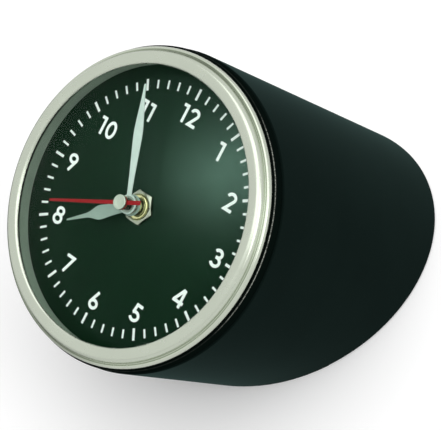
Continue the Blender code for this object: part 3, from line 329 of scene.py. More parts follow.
def mesh_of(bm, name, matrix):
    """A clean mesh of a bmesh, moved by a matrix, smooth but for its sharp edges."""
    bmesh.ops.remove_doubles(bm, verts=bm.verts, dist=MERGE)
    bmesh.ops.transform(bm, matrix=matrix, verts=bm.verts)
    bmesh.ops.recalc_face_normals(bm, faces=bm.faces)
    mesh = bpy.data.meshes.new(name)
    bm.to_mesh(mesh)
    bm.free()
    mesh.shade_smooth()
    mesh.set_sharp_from_angle(angle=SMOOTH_ANGLE)
    return mesh


def piece(name, bm, finish, body, nodes=(), turn=0.0, matrix=dial_matrix):
    """Makes a named piece of a bmesh, moves its mesh into place, and hangs it on its body."""
    obj = bpy.data.objects.new(name, mesh_of(bm, name, matrix @ Matrix.Rotation(turn, 4, "Z")))
    bpy.context.scene.collection.objects.link(obj)
    obj.data.materials.append(finish)
    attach(obj, body)
    if nodes:
        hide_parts(*nodes)
    even = obj.modifiers.new("flat_faces_stay_flat", "WEIGHTED_NORMAL")
    even.keep_sharp = True
    return obj


def soften(obj, width):
    """Rounds an object's sharp edges."""
    bevel = obj.modifiers.new("soft_edges", "BEVEL")
    bevel.width = width
    bevel.segments = BEVEL_SEGMENTS
    bevel.limit_method = "ANGLE"
    bevel.angle_limit = SMOOTH_ANGLE
    obj.modifiers.move(len(obj.modifiers) - 1, 0)


# -----------------------------------------------------------------------------
# Finishes
# -----------------------------------------------------------------------------


class Finish:
    """A material under construction: its Principled shader, and short ways to add nodes in front of it."""

    def __init__(self, name, colour, roughness, metallic=0.0, specular=0.5):
        self.material = bpy.data.materials.new(name)
        self.material.use_nodes = True
        self.tree = self.material.node_tree
        self.shader = self.tree.nodes["Principled BSDF"]
        self.colour, self.roughness = colour, roughness
        self.material.diffuse_color = (*colour, 1)
        self.set(Base_Color=(*colour, 1), Metallic=metallic, Roughness=roughness, Specular_IOR_Level=specular)
        world = self.add("ShaderNodeTexCoord").outputs["Object"]
        inputs = {"Vector": world, "Location": dial_matrix.translation, "Rotation": dial_matrix.to_euler()}
        self.place = self.add("ShaderNodeMapping", inputs, vector_type="TEXTURE").outputs[0]
        self.painted = self.bumps = None

    def set(self, **values):
        """Sets the shader's own sockets, each named with _ for a space."""
        for name, value in values.items():
            self.shader.inputs[name.replace("_", " ")].default_value = value

    def add(self, kind, inputs=None, **settings):
        """A new node with its settings, and with its inputs set to values or linked to sockets."""
        node = self.tree.nodes.new(kind)
        for name, value in settings.items():
            setattr(node, name, value)
        for name, value in (inputs or {}).items():
            if isinstance(value, bpy.types.NodeSocket):
                self.tree.links.new(value, node.inputs[name])
            else:
                node.inputs[name].default_value = value
        return node

    def math(self, operation, *values):
        """A number worked out from others, each a value or a socket."""
        return self.add("ShaderNodeMath", dict(enumerate(values)), operation=operation).outputs[0]

    def noise(self, size, detail=2.0, where=None):
        """Noise with spots of a size."""
        inputs = {"Vector": where or self.place, "Scale": 1 / size, "Detail": detail}
        return self.add("ShaderNodeTexNoise", inputs).outputs["Fac"]

    def axis(self, name):
        """One of the place's coordinates."""
        return self.add("ShaderNodeSeparateXYZ", {0: self.place}).outputs[name]

    def reach(self):
        """The distance from the dial's axis."""
        flat = self.add("ShaderNodeVectorMath", {0: self.place, 1: (1, 1, 0)}, operation="MULTIPLY")
        return self.add("ShaderNodeVectorMath", {0: flat.outputs[0]}, operation="LENGTH").outputs["Value"]

    def towards(self, angle, least, start, stop):
        """Grows from least to 1 as the place moves from start to stop along a direction on the dial."""
        inputs = {0: self.place, 1: (*polar(1, angle), 0)}
        along = self.add("ShaderNodeVectorMath", inputs, operation="DOT_PRODUCT").outputs["Value"]
        return self.between(along, least, 1.0, start, stop)

    def rings(self, pitch):
        """Noise that runs round the z axis, such as turning marks leave."""
        along = self.math("ADD", self.reach(), self.math("MULTIPLY", self.axis("Z"), RINGS_DOWN))
        inputs = {"W": along, "Scale": 1 / pitch, "Detail": 3.0}
        return self.add("ShaderNodeTexNoise", inputs, noise_dimensions="1D").outputs["Fac"]

    def between(self, factor, low, high, start=0.3, stop=0.7):
        """Maps a factor from start..stop to low..high."""
        inputs = {"Value": factor, "From Min": start, "From Max": stop, "To Min": low, "To Max": high}
        return self.add("ShaderNodeMapRange", inputs).outputs["Result"]

    def mix(self, factor, first, second):
        """A colour between two, each a tuple or a socket."""
        node = self.add("ShaderNodeMix", data_type="RGBA")
        for index, value in ((0, factor), (6, first), (7, second)):
            if isinstance(value, bpy.types.NodeSocket):
                self.tree.links.new(value, node.inputs[index])
            else:
                node.inputs[index].default_value = value if index == 0 else (*value, 1)
        return node.outputs[2]

    def paint(self, socket):
        """Takes the colour from a socket."""
        self.tree.links.new(socket, self.shader.inputs["Base Color"])
        self.painted = socket

    def stain(self, factor, colour):
        """Another colour over what is painted, as strong as a factor."""
        self.paint(self.mix(factor, self.painted, colour))

    def mottle(self, size, amount):
        """Colour that varies by an amount up and down, in spots of a size."""
        low = tuple(value * (1 - amount) for value in self.colour)
        high = tuple(min(value * (1 + amount), 1) for value in self.colour)
        self.paint(self.mix(self.between(self.noise(size, 3.0), 0, 1), low, high))

    def rough(self, factor, spread):
        """Roughness that varies with a factor."""
        low, high = self.roughness - spread, self.roughness + spread
        self.tree.links.new(self.between(factor, low, high), self.shader.inputs["Roughness"])

    def bump(self, height, depth):
        """Relief of the given depth, on top of any added before."""
        inputs = {"Height": height, "Distance": depth, "Strength": 1.0}
        if self.bumps:
            inputs["Normal"] = self.bumps
        self.bumps = self.add("ShaderNodeBump", inputs).outputs[0]
        self.tree.links.new(self.bumps, self.shader.inputs["Normal"])

    def wear(self, mottle, gloss, relief, detail=2.0):
        """Mottled colour, uneven gloss and fine relief, each as (size of its spots in mm, amount)."""
        self.mottle(mottle[0] * MM, mottle[1])
        self.rough(self.noise(gloss[0] * MM), gloss[1])
        self.bump(self.noise(relief[0] * MM, detail), relief[1] * MM)


def moulded(name, colour, roughness, specular=0.4, grain=0.35):
    """Moulded plastic: a fine spark-eroded grain, with a size in mm, and slight sink and flow marks."""
    finish = Finish(name, colour, roughness, specular=specular)
    finish.wear((9, 0.06), (3, 0.06), (grain, 0.01), 4.0)
    return finish


def turned(name, colour, roughness, pitch=0.08, depth=0.002):
    """Metal turned on a lathe: fine rings round the axis, with sizes in mm, and faint stains."""
    finish = Finish(name, colour, roughness, metallic=1.0)
    finish.mottle(2.5 * MM, 0.06)
    rings = finish.rings(pitch * MM)
    finish.rough(rings, 0.05)
    finish.bump(rings, depth * MM)
    return finish.material


def rolled(name, colour, roughness):
    """Metal from strip or sheet: fine lines along one direction."""
    finish = Finish(name, colour, roughness, metallic=1.0)
    drawn_out = finish.add("ShaderNodeMapping", {"Vector": finish.place, "Scale": (1.0, 0.03, 1.0)})
    lines = finish.noise(0.12 * MM, 3.0, drawn_out.outputs[0])
    finish.mottle(4 * MM, 0.05)
    finish.rough(lines, 0.06)
    finish.bump(lines, 0.002 * MM)
    return finish.material


def make_housing_finish():
    """Sprayed matt paint: faint orange peel with finer grain over it, a little sheen, and specks of dust."""
    finish = Finish("housing_enamel", (0.0034, 0.0070, 0.0060), 0.42, specular=0.0)
    finish.set(Sheen_Weight=0.08, Sheen_Roughness=0.35, Sheen_Tint=(0.60, 1.0, 0.93, 1))
    finish.wear((30, 0.10), (6, 0.05), (1.2, 0.01))
    finish.bump(finish.noise(0.2 * MM), 0.0025 * MM)
    specks = finish.between(finish.noise(0.5 * MM, 1.0), 0.0, 1.0, 0.74, 0.80)
    finish.stain(specks, (0.020, 0.026, 0.024))
    return finish.material


def make_flange_finish(radius, top):
    """Matt black plastic, with pale speckles along the flange's outer edge: chips, and a painted highlight
    that is strongest towards 3 o'clock.
    """
    finish = moulded("case_plastic", (0.0020, 0.0042, 0.0034), 0.45, 0.0)
    # Chips and a painted highlight: pale speckles on the flange's outer edge, strongest towards 3 o'clock
    edge = finish.math(
        "MULTIPLY",
        finish.between(finish.reach(), 0.0, 1.0, *(radius - inset for inset in CHIPS_AND_HIGHLIGHT_BAND)),
        finish.between(finish.axis("Z"), 0.0, 1.0, *(top - depth for depth in CHIPS_AND_HIGHLIGHT_DEPTH)),
    )
    speckles = finish.between(finish.noise(0.30 * MM, 5.0), 0.10, 1.0, 0.40, 0.62)
    lit_side = finish.towards(CHIPS_AND_HIGHLIGHT_ANGLE, 0.05, *(radius * share for share in CHIPS_AND_HIGHLIGHT_SPAN))
    worn_and_highlit = finish.math("MULTIPLY", finish.math("MULTIPLY", edge, speckles), lit_side)
    finish.stain(worn_and_highlit, (0.50, 0.52, 0.46))
    return finish.material


def make_chrome_finish(groove_start, groove_stop, rim):
    """Plated ring with faint turning marks, grime in its groove that a painted dark reflection deepens towards
    12 o'clock, and painted shade outside it on the lower left.
    """
    finish = Finish("bezel_chrome", (0.52, 0.565, 0.475), 0.25, metallic=1.0)
    finish.mottle(14 * MM, 0.02)
    reach = finish.reach()
    groove = finish.math(
        "MULTIPLY",
        finish.between(reach, 0.0, 1.0, groove_start, groove_start + GROOVE_FADES[0]),
        finish.between(reach, 1.0, 0.0, groove_stop - GROOVE_FADES[1], groove_stop),
    )
    # Faint grime all round the groove, growing towards 12 o'clock into a painted dark reflection
    caked_and_reflected = finish.towards(GRIME_AND_REFLECTION_ANGLE, 0.10, *(rim * share for share in GRIME_AND_REFLECTION_SPAN))
    grime_and_reflection = finish.math("MULTIPLY", groove, caked_and_reflected)
    # Painted shade along the outer edge, towards the lower left
    edge = finish.between(reach, 0.0, 1.0, *(rim - inset for inset in EDGE_SHADE_BAND))
    shaded_side = finish.towards(EDGE_SHADE_ANGLE, 0.0, *(rim * share for share in EDGE_SHADE_SPAN))
    edge_shade = finish.math("MULTIPLY", edge, shaded_side)
    finish.stain(finish.math("MAXIMUM", grime_and_reflection, edge_shade), (0.17, 0.195, 0.15))
    finish.rough(finish.noise(5 * MM, 4.0), 0.05)
    finish.bump(finish.rings(0.35 * MM), 0.002 * MM)
    return finish.material


def make_lens_finish():
    """Clear acrylic. Rays from lamps, and those that light what is behind it, pass straight through."""
    finish = Finish("lens_acrylic", (0.97, 0.99, 0.98), 0.025, specular=0.06)
    finish.set(Transmission_Weight=1.0, IOR=1.06)
    finish.rough(finish.noise(12 * MM), 0.01)
    path = finish.add("ShaderNodeLightPath")
    passing = finish.math("MAXIMUM", path.outputs["Is Shadow Ray"], path.outputs["Is Diffuse Ray"])
    clear = finish.add("ShaderNodeBsdfTransparent", {"Color": (0.96, 0.98, 0.97, 1)})
    mixed = finish.add("ShaderNodeMixShader", {0: passing, 1: finish.shader.outputs[0], 2: clear.outputs[0]})
    output = finish.tree.nodes["Material Output"]
    finish.tree.links.new(mixed.outputs[0], output.inputs["Surface"])
    return finish.material


def make_dial_finish():
    """Flat green lacquer with a very fine tooth."""
    finish = Finish("dial_lacquer", (0.0020, 0.0145, 0.0050), 0.165, specular=0.065)
    finish.set(Specular_Tint=(0.47, 1.0, 0.75, 1))
    finish.wear((22, 0.12), (9, 0.01), (0.12, 0.001))
    return finish.material


def make_ring_finish():
    """Grey moulded ring, brushed round."""
    finish = Finish("ring_plastic", (0.22, 0.29, 0.225), 0.45, specular=0.2)
    finish.mottle(8 * MM, 0.08)
    rings = finish.rings(0.12 * MM)
    finish.rough(rings, 0.06)
    finish.bump(rings, 0.004 * MM)
    return finish.material


def make_hand_finish(name, colour, roughness=0.5, specular=0.35):
    """Thin paint on stamped metal."""
    finish = Finish(name, colour, roughness, specular=specular)
    finish.wear((3, 0.05), (1.5, 0.06), (0.3, 0.006))
    return finish.material


def make_print_finish():
    """Thick screen-printed ink."""
    finish = Finish("dial_ink", (0.90, 0.97, 0.93), 0.55, specular=0.15)
    finish.wear((1.2, 0.03), (0.8, 0.05), (0.15, 0.004))
    return finish.material


def make_rubber_finish():
    """Dusty black rubber with a coarse grain."""
    finish = Finish("rubber", (0.014, 0.015, 0.015), 0.85, specular=0.3)
    finish.wear((2, 0.15), (1, 0.08), (0.25, 0.02), 4.0)
    return finish.material


def make_copper_finish():
    """Enamelled wire, seen as the turns of the coil."""
    finish = Finish("enamelled_wire", (0.62, 0.25, 0.10), 0.28, metallic=1.0)
    turn = WIRE_PITCH / MM
    finish.wear((0.5, 0.12), (turn, 0.06), (turn, 0.01))
    return finish.material


def make_board_finish():
    """Solder mask over copper tracks, with the weave of the laminate under it."""
    finish = Finish("board_laminate", (0.02, 0.13, 0.06), 0.35)
    black, white = (0, 0, 0, 1), (1, 1, 1, 1)
    inputs = {"Vector": finish.place, "Scale": 1 / TRACK_SIZE, "Mortar Size": 0.03, "Color1": black,
              "Color2": black, "Mortar": white}
    tracks = finish.add("ShaderNodeTexBrick", inputs).outputs["Color"]
    finish.wear((5, 0.08), (2, 0.05), (0.4, 0.01))
    finish.stain(tracks, (0.04, 0.22, 0.10))
    return finish.material


def make_wrap_finish(split):
    """A battery's plain two-tone sleeve: dark, with a bright end behind the nub."""
    finish = Finish("battery_sleeve", (0.055, 0.058, 0.062), 0.30, metallic=0.4)
    finish.wear((6, 0.06), (3, 0.05), (1.5, 0.01))
    end = finish.between(finish.axis("X"), 0.0, 1.0, split - BAND_BLUR, split + BAND_BLUR)
    finish.stain(end, (0.42, 0.24, 0.12))
    return finish.material


# -----------------------------------------------------------------------------
# Numerals: strokes of one width, in shares of the numeral's height, joined into flat outlines
# -----------------------------------------------------------------------------

half_stroke = STROKE_SHARE / 2
cap_line = 1 - half_stroke
base_line = half_stroke
round_bowl, upper_bowl, lower_bowl = 0.2075, 0.19, 0.2275
waist = cap_line - 2 * upper_bowl


def arc(centre, radii, start, stop):
    """Points on an ellipse, from one angle in degrees to another."""
    steps = max(2, round(abs(stop - start) / ARC_DEGREES))
    angles = [math.radians(start + (stop - start) * step / steps) for step in range(steps + 1)]
    return [Vector((centre[0] + radii[0] * math.cos(a), centre[1] + radii[1] * math.sin(a))) for a in angles]


def bowl(centre, radius, start=0, stop=360):
    """Part of a circle, or all of it."""
    return arc(centre, (radius, radius), start, stop)


def six_strokes():
    """A bowl, and a straight stem that leans on its left side."""
    middle, lean, sunk = (0.29, 0.29), Vector((0.36, 0.933)), 0.05
    touch = Vector(middle) + round_bowl * Vector((-lean.y, lean.x))
    top = touch + lean * ((1.0 - touch.y) / lean.y)
    return [bowl(middle, round_bowl), [touch - lean * sunk, top]]


def widened(width, strokes):
    """A digit with its middle lines drawn apart, and its strokes as broad as before."""
    wide = [[Vector((point[0] * BOWL_STRETCH, point[1])) for point in stroke] for stroke in strokes]
    return width * BOWL_STRETCH, wide


def turned_over(strokes, width):
    """Strokes turned by half a turn, for the 9."""
    return [[Vector((width - x, 1 - y)) for x, y in stroke] for stroke in strokes]


DIGITS = {  # width and strokes
    "0": widened(0.62, [arc((0.31, 0.5), (0.31 - half_stroke, cap_line - 0.5), 0, 360)]),
    "1": (0.40, [[(0.30, 0.0), (0.30, 1.0)], [(0.00, 0.915), (0.30, 0.915)]]),
    "2": widened(0.60, [bowl((0.29, 0.71), round_bowl, 172, -32) + [(0.155, base_line), (0.57, base_line)]]),
    "3": widened(0.58, [
        bowl((0.28, cap_line - upper_bowl), upper_bowl, 158, -90) + [(0.20, waist)],
        [(0.20, waist)] + bowl((0.28, waist - lower_bowl), lower_bowl, 90, -158),
    ]),
    "4": (0.76, [[(0.56, 0.0), (0.56, 1.0)], [(0.02, 0.285), (0.75, 0.285)], [(0.52, 1.0), (0.09, 0.285)]]),
    "5": widened(0.58, [
        [(0.53, cap_line), (0.20, cap_line), (0.155, 0.49)],
        bowl((0.28, base_line + lower_bowl), lower_bowl, 140, -155),
    ]),
    "6": widened(0.58, six_strokes()),
    "7": widened(0.56, [[(0.02, cap_line), (0.49, cap_line), (0.17, 0.0)]]),
    "8": widened(0.58, [
        bowl((0.29, cap_line - upper_bowl), upper_bowl),
        bowl((0.29, waist - lower_bowl), lower_bowl),
    ]),
    "9": widened(0.58, turned_over(six_strokes(), 0.58)),
}


def ribbon(stroke):
    """The quads of a stroke: its middle line, widened to both sides, with mitred corners."""
    path = [Vector(point) for point in stroke]
    closed = (path[0] - path[-1]).length < JOINED
    if closed:
        path.pop()
    left, right = [], []
    count = len(path)
    for index, here in enumerate(path):
        ways = []
        if closed or index > 0:
            ways.append((here - path[index - 1]).normalized())
        if closed or index < count - 1:
            ways.append((path[(index + 1) % count] - here).normalized())
        normals = [Vector((-way.y, way.x)) for way in ways]
        mitre = sum(normals, Vector((0, 0))).normalized()
        reach = half_stroke / mitre.dot(normals[0])
        left.append(here + mitre * reach)
        right.append(here - mitre * reach)
    steps = range(count) if closed else range(count - 1)
    return [(left[i], right[i], right[(i + 1) % count], left[(i + 1) % count]) for i in steps]


def add_union(bm, quads, height):
    """Adds the area that the quads cover, as one flat sheet."""
    corners = [corner for quad in quads for corner in quad]
    faces = [list(range(index, index + 4)) for index in range(0, len(corners), 4)]
    points, _, found, _, _, owners = delaunay_2d_cdt(corners, [], faces, 0, MERGE)
    verts = [bm.verts.new((point.x, point.y, height)) for point in points]
    for face, owner in zip(found, owners):
        if owner:
            bm.faces.new([verts[index] for index in face])


def number_quads(text, middle):
    """The quads of a number with its middle at a place on the dial."""
    total = sum(DIGITS[digit][0] for digit in text) + DIGIT_GAP_SHARE * (len(text) - 1)
    pen = -total / 2
    quads = []
    for digit in text:
        width, strokes = DIGITS[digit]
        for stroke in strokes:
            for quad in ribbon(stroke):
                quads.append([middle + NUMERAL_HEIGHT * Vector((pen + x, y - 0.5)) for x, y in quad])
        pen += width + DIGIT_GAP_SHARE
    return quads


# -----------------------------------------------------------------------------
# The clock's pieces
# -----------------------------------------------------------------------------


def build_housing():
    """The tube, sawn off parallel to the table, with its edges broken."""
    bore, radius, bottom, top = span("housing_shell")
    outline = filleted([
        (bore, 2 * bottom, 0),
        (bore, top, INNER_FILLET_MM),
        (radius, top, FRONT_FILLET_MM),
        (radius, 2 * bottom, 0),
    ])
    bm = spun(outline)
    sawn = to_dial @ Vector((0, 0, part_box("housing_shell")[0].z))
    down = to_dial.to_3x3() @ Vector((0, 0, -1))
    geometry = bm.verts[:] + bm.edges[:] + bm.faces[:]
    bmesh.ops.bisect_plane(bm, geom=geometry, plane_co=sawn, plane_no=down, clear_outer=True)
    bmesh.ops.bridge_loops(bm, edges=[edge for edge in bm.edges if edge.is_boundary])
    tube = piece("housing_tube", bm, make_housing_finish(), "case", ["housing_shell"])
    soften(tube, SAWN_BEVEL)


def build_case():
    """The moulded cup behind the dial, with its flange on the tube's end."""
    hole, radius, back, top = span("insert_case")
    inside = span("dial_plate")[1] + SEAT_GAP
    floor = span("dial_plate")[2] - SEAT_GAP
    seat_radius = span("lens_gasket")[1] + SEAT_GAP
    seat = span("lens_gasket")[2] - SEAT_GAP
    skirt = inside + CASE_WALL
    outline = filleted([
        (hole, floor - CASE_FLOOR, 0),
        (hole, floor, 0.2),
        (inside, floor, 0),
        (inside, seat, 0.1),
        (seat_radius, seat, 0),
        (seat_radius, top, 0.15),
        (radius, top, 0.6),
        (radius, SEAT_GAP, 0.15),
        (skirt, SEAT_GAP, 0),
        (skirt, back, 0.5),
        (inside, back, 0.3),
        (inside, floor - CASE_FLOOR, 0.8),
    ])
    piece("insert_cup", spun(outline), make_flange_finish(radius, top), "case", ["insert_case"])


def build_bezel():
    """The spun ring: a broad round band, a groove, and a bead behind it, over the lens's edge."""
    tip, rim, back, top = span("bezel_ring")
    wall = lens_rim + LENS_FIT
    width, height = rim - tip, top - back

    def placed(shares):
        return [Vector((tip + across * width, back + up * height)) for across, up in shares]

    shoulder = lens_surface(wall) + LENS_FIT
    lip = lens_surface(tip) + LENS_FIT
    inside = [Vector((wall, back)), Vector((wall, shoulder)), Vector((tip + LIP_THICKNESS, lip))]
    outline = spline(placed(BAND_SHARES)) + spline(placed(BEAD_SHARES))[1:] + inside
    finish = make_chrome_finish(*(tip + share * width for share in GROOVE_SHARES), rim)
    piece("bezel", spun(outline), finish, "case", ["bezel_ring"])


def build_lens():
    """The domed lens, of one thickness."""
    radii = [lens_rim * step / LENS_STEPS for step in range(LENS_STEPS + 1)]
    outside = [(radius, lens_surface(radius)) for radius in reversed(radii)]
    inside = [(radius, lens_surface(radius) - LENS_THICKNESS) for radius in radii]
    piece("lens", spun(inside + outside), make_lens_finish(), "case", ["lens_glass"])


def build_dial():
    """The dial, the ring that stands on it, and the ink. It returns what the dial's own lamp lights."""
    hole, radius, back, front = span("dial_plate")
    plate = filleted([(hole, back, 0), (radius, back, 0), (radius, front, 0.1), (hole, front, 0.1)])
    face = piece("dial", spun(plate), make_dial_finish(), "case", ["dial_plate"])
    bore, outer, bottom, top = span("dial_ring")
    step = span("lens_gasket")[0] - SEAT_GAP
    seat = span("lens_gasket")[2] - SEAT_GAP
    ring = filleted([
        (outer, bottom, 0.1),
        (outer, seat, 0.1),
        (step, seat, 0),
        (step, top, 0.12),
        (step - RING_LIP, top, 0.12),
        (bore, bottom, 0),
    ])
    piece("dial_wall", spun(ring), make_ring_finish(), "case", ["dial_ring"])
    ink = make_print_finish()
    track = piece("minute_track", build_track(front), ink, "case")
    bm = bmesh.new()
    for number, place in enumerate(NUMERAL_PLACES_MM, 1):
        add_union(bm, number_quads(str(number), Vector(place) * MM), front)
    thicken(bm, PRINT_THICKNESS)
    return face, track, piece("numerals", bm, ink, "case")


def build_track(level):
    """The ticks of the minutes and the hours, as a bmesh on the dial's surface."""
    bm = bmesh.new()
    for number in range(60):
        length, width = HOUR_TICK if number % 5 == 0 else MINUTE_TICK
        out = polar(1, math.pi / 2 - math.tau * number / 60)
        across = Vector((-out.y, out.x))
        quad = [
            out * (TRACK_RADIUS + along * length / 2) + across * side * width / 2
            for along, side in ((-1, -1), (1, -1), (1, 1), (-1, 1))
        ]
        bm.faces.new([bm.verts.new((point.x, point.y, level)) for point in quad])
    thicken(bm, PRINT_THICKNESS)
    return bm


def build_hub(brass, nickel, rubber):
    """The threaded bush with its nut, and the washer and gasket."""
    bore, flange, back, top = span("threaded_bush")
    shank = span("dial_plate")[0] - SEAT_GAP
    front = span("movement_case")[3] - SHELL - SEAT_GAP
    foot = [(bore, back, 0.1), (flange, back, 0.1), (flange, front, 0.1), (shank, front, 0)]
    outline = filleted(foot, closed=False)
    turns = round((top - front) / THREAD_PITCH)
    pitch = (top - front) / turns
    for number in range(turns):
        height = front + pitch * number
        outline.append(Vector((shank - THREAD_DEPTH, height + pitch / 4)))
        outline.append(Vector((shank, height + pitch * 3 / 4)))
    outline += filleted([
        (shank, top - pitch / 4, 0),
        (shank - BUSH_CHAMFER, top, 0.12),
        (bore + BUSH_MOUTH, top, 0.1),
        (bore, top - BUSH_MOUTH_DEPTH, 0),
    ], closed=False)
    piece("bush", spun(outline, HUB_STEPS), brass, "case", ["threaded_bush"])
    build_nut(nickel)
    for node, name in (("rubber_washer", "washer"), ("lens_gasket", "gasket")):
        inner, outer, low, high = span(node)
        corners = ((inner, low), (outer, low), (outer, high), (inner, high))
        section = filleted([(*corner, 0.12) for corner in corners])
        piece(name, spun(section), rubber, "case", [node])


def build_nut(nickel):
    """A hexagon whose corners are turned off by a cone, with a threaded hole."""
    hole, corner, bottom, top = span("hex_nut")
    flat = corner * math.cos(math.pi / 6)
    face = flat * NUT_FACE_SHARE
    steps = HUB_STEPS - HUB_STEPS % 6
    rings = [[] for _ in range(6)]
    bm = bmesh.new()
    for step in range(steps):
        angle = math.tau * step / steps
        away = (angle + math.pi / 6) % (math.pi / 3) - math.pi / 6
        edge = flat / math.cos(math.pi / 6 - abs(away))
        section = (
            (edge, bottom),
            (edge, top - (edge - face) * NUT_CHAMFER_SLOPE),
            (face, top),
            (hole + NUT_MOUTH, top),
            (hole, top - NUT_MOUTH),
            (hole, bottom),
        )
        for ring, (radius, height) in zip(rings, section):
            ring.append(bm.verts.new((*polar(radius, angle), height)))
    for lower, upper in zip(rings, rings[1:] + rings[:1]):
        for a, b, c, d in zip(lower, lower[1:] + lower[:1], upper[1:] + upper[:1], upper):
            bm.faces.new((a, b, c, d))
    piece("nut", bm, nickel, "case", ["hex_nut"])


def hand_sides(boss, length, width, shares, tail=0.0):
    """A hand's outline, pointing along +y: a round boss, and sides that run smoothly through the shares."""
    right = [Vector((width * wide / 2, length * along)) for along, wide in shares]
    start = math.acos(min(right[0].x / boss, 1.0))
    stop = -math.acos(width / 2 / boss) if tail else -math.pi / 2
    rim = [polar(boss, start + (stop - start) * step / BOSS_STEPS) for step in range(BOSS_STEPS + 1)]
    side = [point for point in reversed(right) if point.length > boss] + rim
    if tail:
        side.append(Vector((width / 2, -tail)))
    mirrored = [Vector((-point.x, point.y)) for point in reversed(side) if point.x > MERGE]
    return side + mirrored


def build_hands(nickel, dark, brass):
    """Each hand with its collar and the end of its tube, from the lowest hand up."""
    collet = turned("collet_nickel", (0.28, 0.34, 0.28), 0.32)
    pale = make_hand_finish("hand_paint", (0.57, 0.70, 0.63))
    # The hour hand wears a darker copy of the hands' pale paint: painted shade
    shaded_hour_paint = make_hand_finish("hour_hand_painted_shade", (0.30, 0.415, 0.35))
    hour = (HOUR_BOSS, HOUR_WIDTH, HOUR_SHARES)
    minute = (MINUTE_BOSS, MINUTE_WIDTH, MINUTE_SHARES)
    parts = (
        ("hour", hour, "hour_wheel", HOUR_TUBE, HOUR_COLLAR_WALL, shaded_hour_paint, nickel, nickel),
        ("minute", minute, "cannon_pinion", MINUTE_TUBE, MINUTE_COLLAR_WALL, pale, collet, dark),
    )
    for name, (boss, width, shares), carrier, tube, wall, paint, collar_metal, tube_metal in parts:
        node = f"{name}_hand"
        turn, length = hand_pose(node)
        bottom, end = span(node)[2], span(carrier)[3]
        outline = hand_sides(boss, length, width, shares)
        bm = extruded(outline, [circle(tube + SHAFT_GAP)], bottom, bottom + HAND_THICKNESS)
        blade = piece(f"{name}_blade", bm, paint, node, [node], turn)
        soften(blade, HAND_BEVEL)
        collar = filleted([
            (tube + SHAFT_GAP / 2, bottom - COLLAR_DROP, 0),
            (tube + wall, bottom - COLLAR_DROP, 0),
            (tube + wall, end, 0.15),
            (tube + SHAFT_GAP / 2, end, 0.1),
        ])
        piece(f"{name}_collar", spun(collar, HUB_STEPS), collar_metal, node)
        sleeve = filleted([
            (tube - SLEEVE_WALL, 0, 0),
            (tube + SLEEVE_SKIN, 0, 0),
            (tube + SLEEVE_SKIN, end + SLEEVE_PROUD, 0.08),
            (tube - SLEEVE_WALL, end + SLEEVE_PROUD, 0.08),
        ])
        piece(f"{name}_tube", spun(sleeve, HUB_STEPS), tube_metal, node)
    build_second_hand(dark, brass)


def build_second_hand(dark, brass):
    """The red hand with its socket and ferrule below it, and the cap over it, dished in the middle."""
    node = "second_hand"
    red = make_hand_finish("second_hand_paint", (0.30, 0.010, 0.013), 0.42, 0.15)
    turn, length = hand_pose(node)
    _, _, bottom, top = span(node)
    level = top - HAND_THICKNESS
    outline = hand_sides(SECOND_BOSS, length, SECOND_WIDTH, SECOND_SHARES, SECOND_TAIL)
    bm = extruded(outline, [circle(SECOND_BORE)], level, top)
    blade = piece("second_blade", bm, red, node, [node], turn)
    soften(blade, HAND_BEVEL)
    socket = filleted([
        (SECOND_BORE, bottom, 0),
        (SECOND_SOCKET, bottom, 0.1),
        (SECOND_SOCKET, level, 0),
        (SECOND_BORE, level, 0),
    ])
    piece("second_socket", spun(socket, HUB_STEPS), dark, node)
    ferrule = filleted([
        (SECOND_SOCKET - FERRULE_BITE, level - FERRULE_HEIGHT, 0),
        (SECOND_SOCKET + FERRULE_LIP, level - FERRULE_HEIGHT, 0.1),
        (SECOND_SOCKET + FERRULE_LIP, level, 0),
        (SECOND_SOCKET - FERRULE_BITE, level, 0),
    ])
    piece("second_ferrule", spun(ferrule, HUB_STEPS), brass, node)
    _, radius, low, high = span("second_hand_cap")
    cap = filleted([
        (0, low, 0),
        (radius - CAP_FOOT, low, 0),
        (radius, low + CAP_FOOT, 0),
        (radius, high, 0.18),
        *((out * MM, high - depth * MM, 0) for out, depth in CAP_DISH_MM),
    ], closed=False)
    metal = turned("cap_nickel", (0.49, 0.57, 0.47), 0.36, 0.35, 0.006)
    piece("cap", spun(cap, HUB_STEPS), metal, node, ["second_hand_cap"])


def dress_movement():
    """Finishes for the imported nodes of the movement, which keep their shapes."""
    black = moulded("movement_plastic", (0.014, 0.014, 0.015), 0.5).material
    white = moulded("acetal_white", (0.70, 0.69, 0.64), 0.42, grain=0.2).material
    amber = moulded("acetal_amber", (0.58, 0.36, 0.10), 0.42, grain=0.2).material
    steel = rolled("rolled_steel", (0.50, 0.50, 0.51), 0.34)
    strip = rolled("nickel_strip", (0.60, 0.60, 0.55), 0.28)
    dress(black, "movement_case", "movement_back_cover", "setting_knob")
    dress(white, "train_plate", "coil_bobbin", "second_wheel", "third_wheel", "minute_wheel", "hour_wheel")
    dress(amber, "intermediate_wheel", "centre_wheel")
    dress(steel, "stator_plate", "coil_core", "rotor")
    dress(strip, "battery_contact_plus", "battery_contact_minus")
    dress(make_board_finish(), "circuit_board")


def dress(material, *nodes):
    """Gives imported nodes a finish."""
    for node in nodes:
        for slot in frame["nodes"][node].material_slots:
            slot.material = material


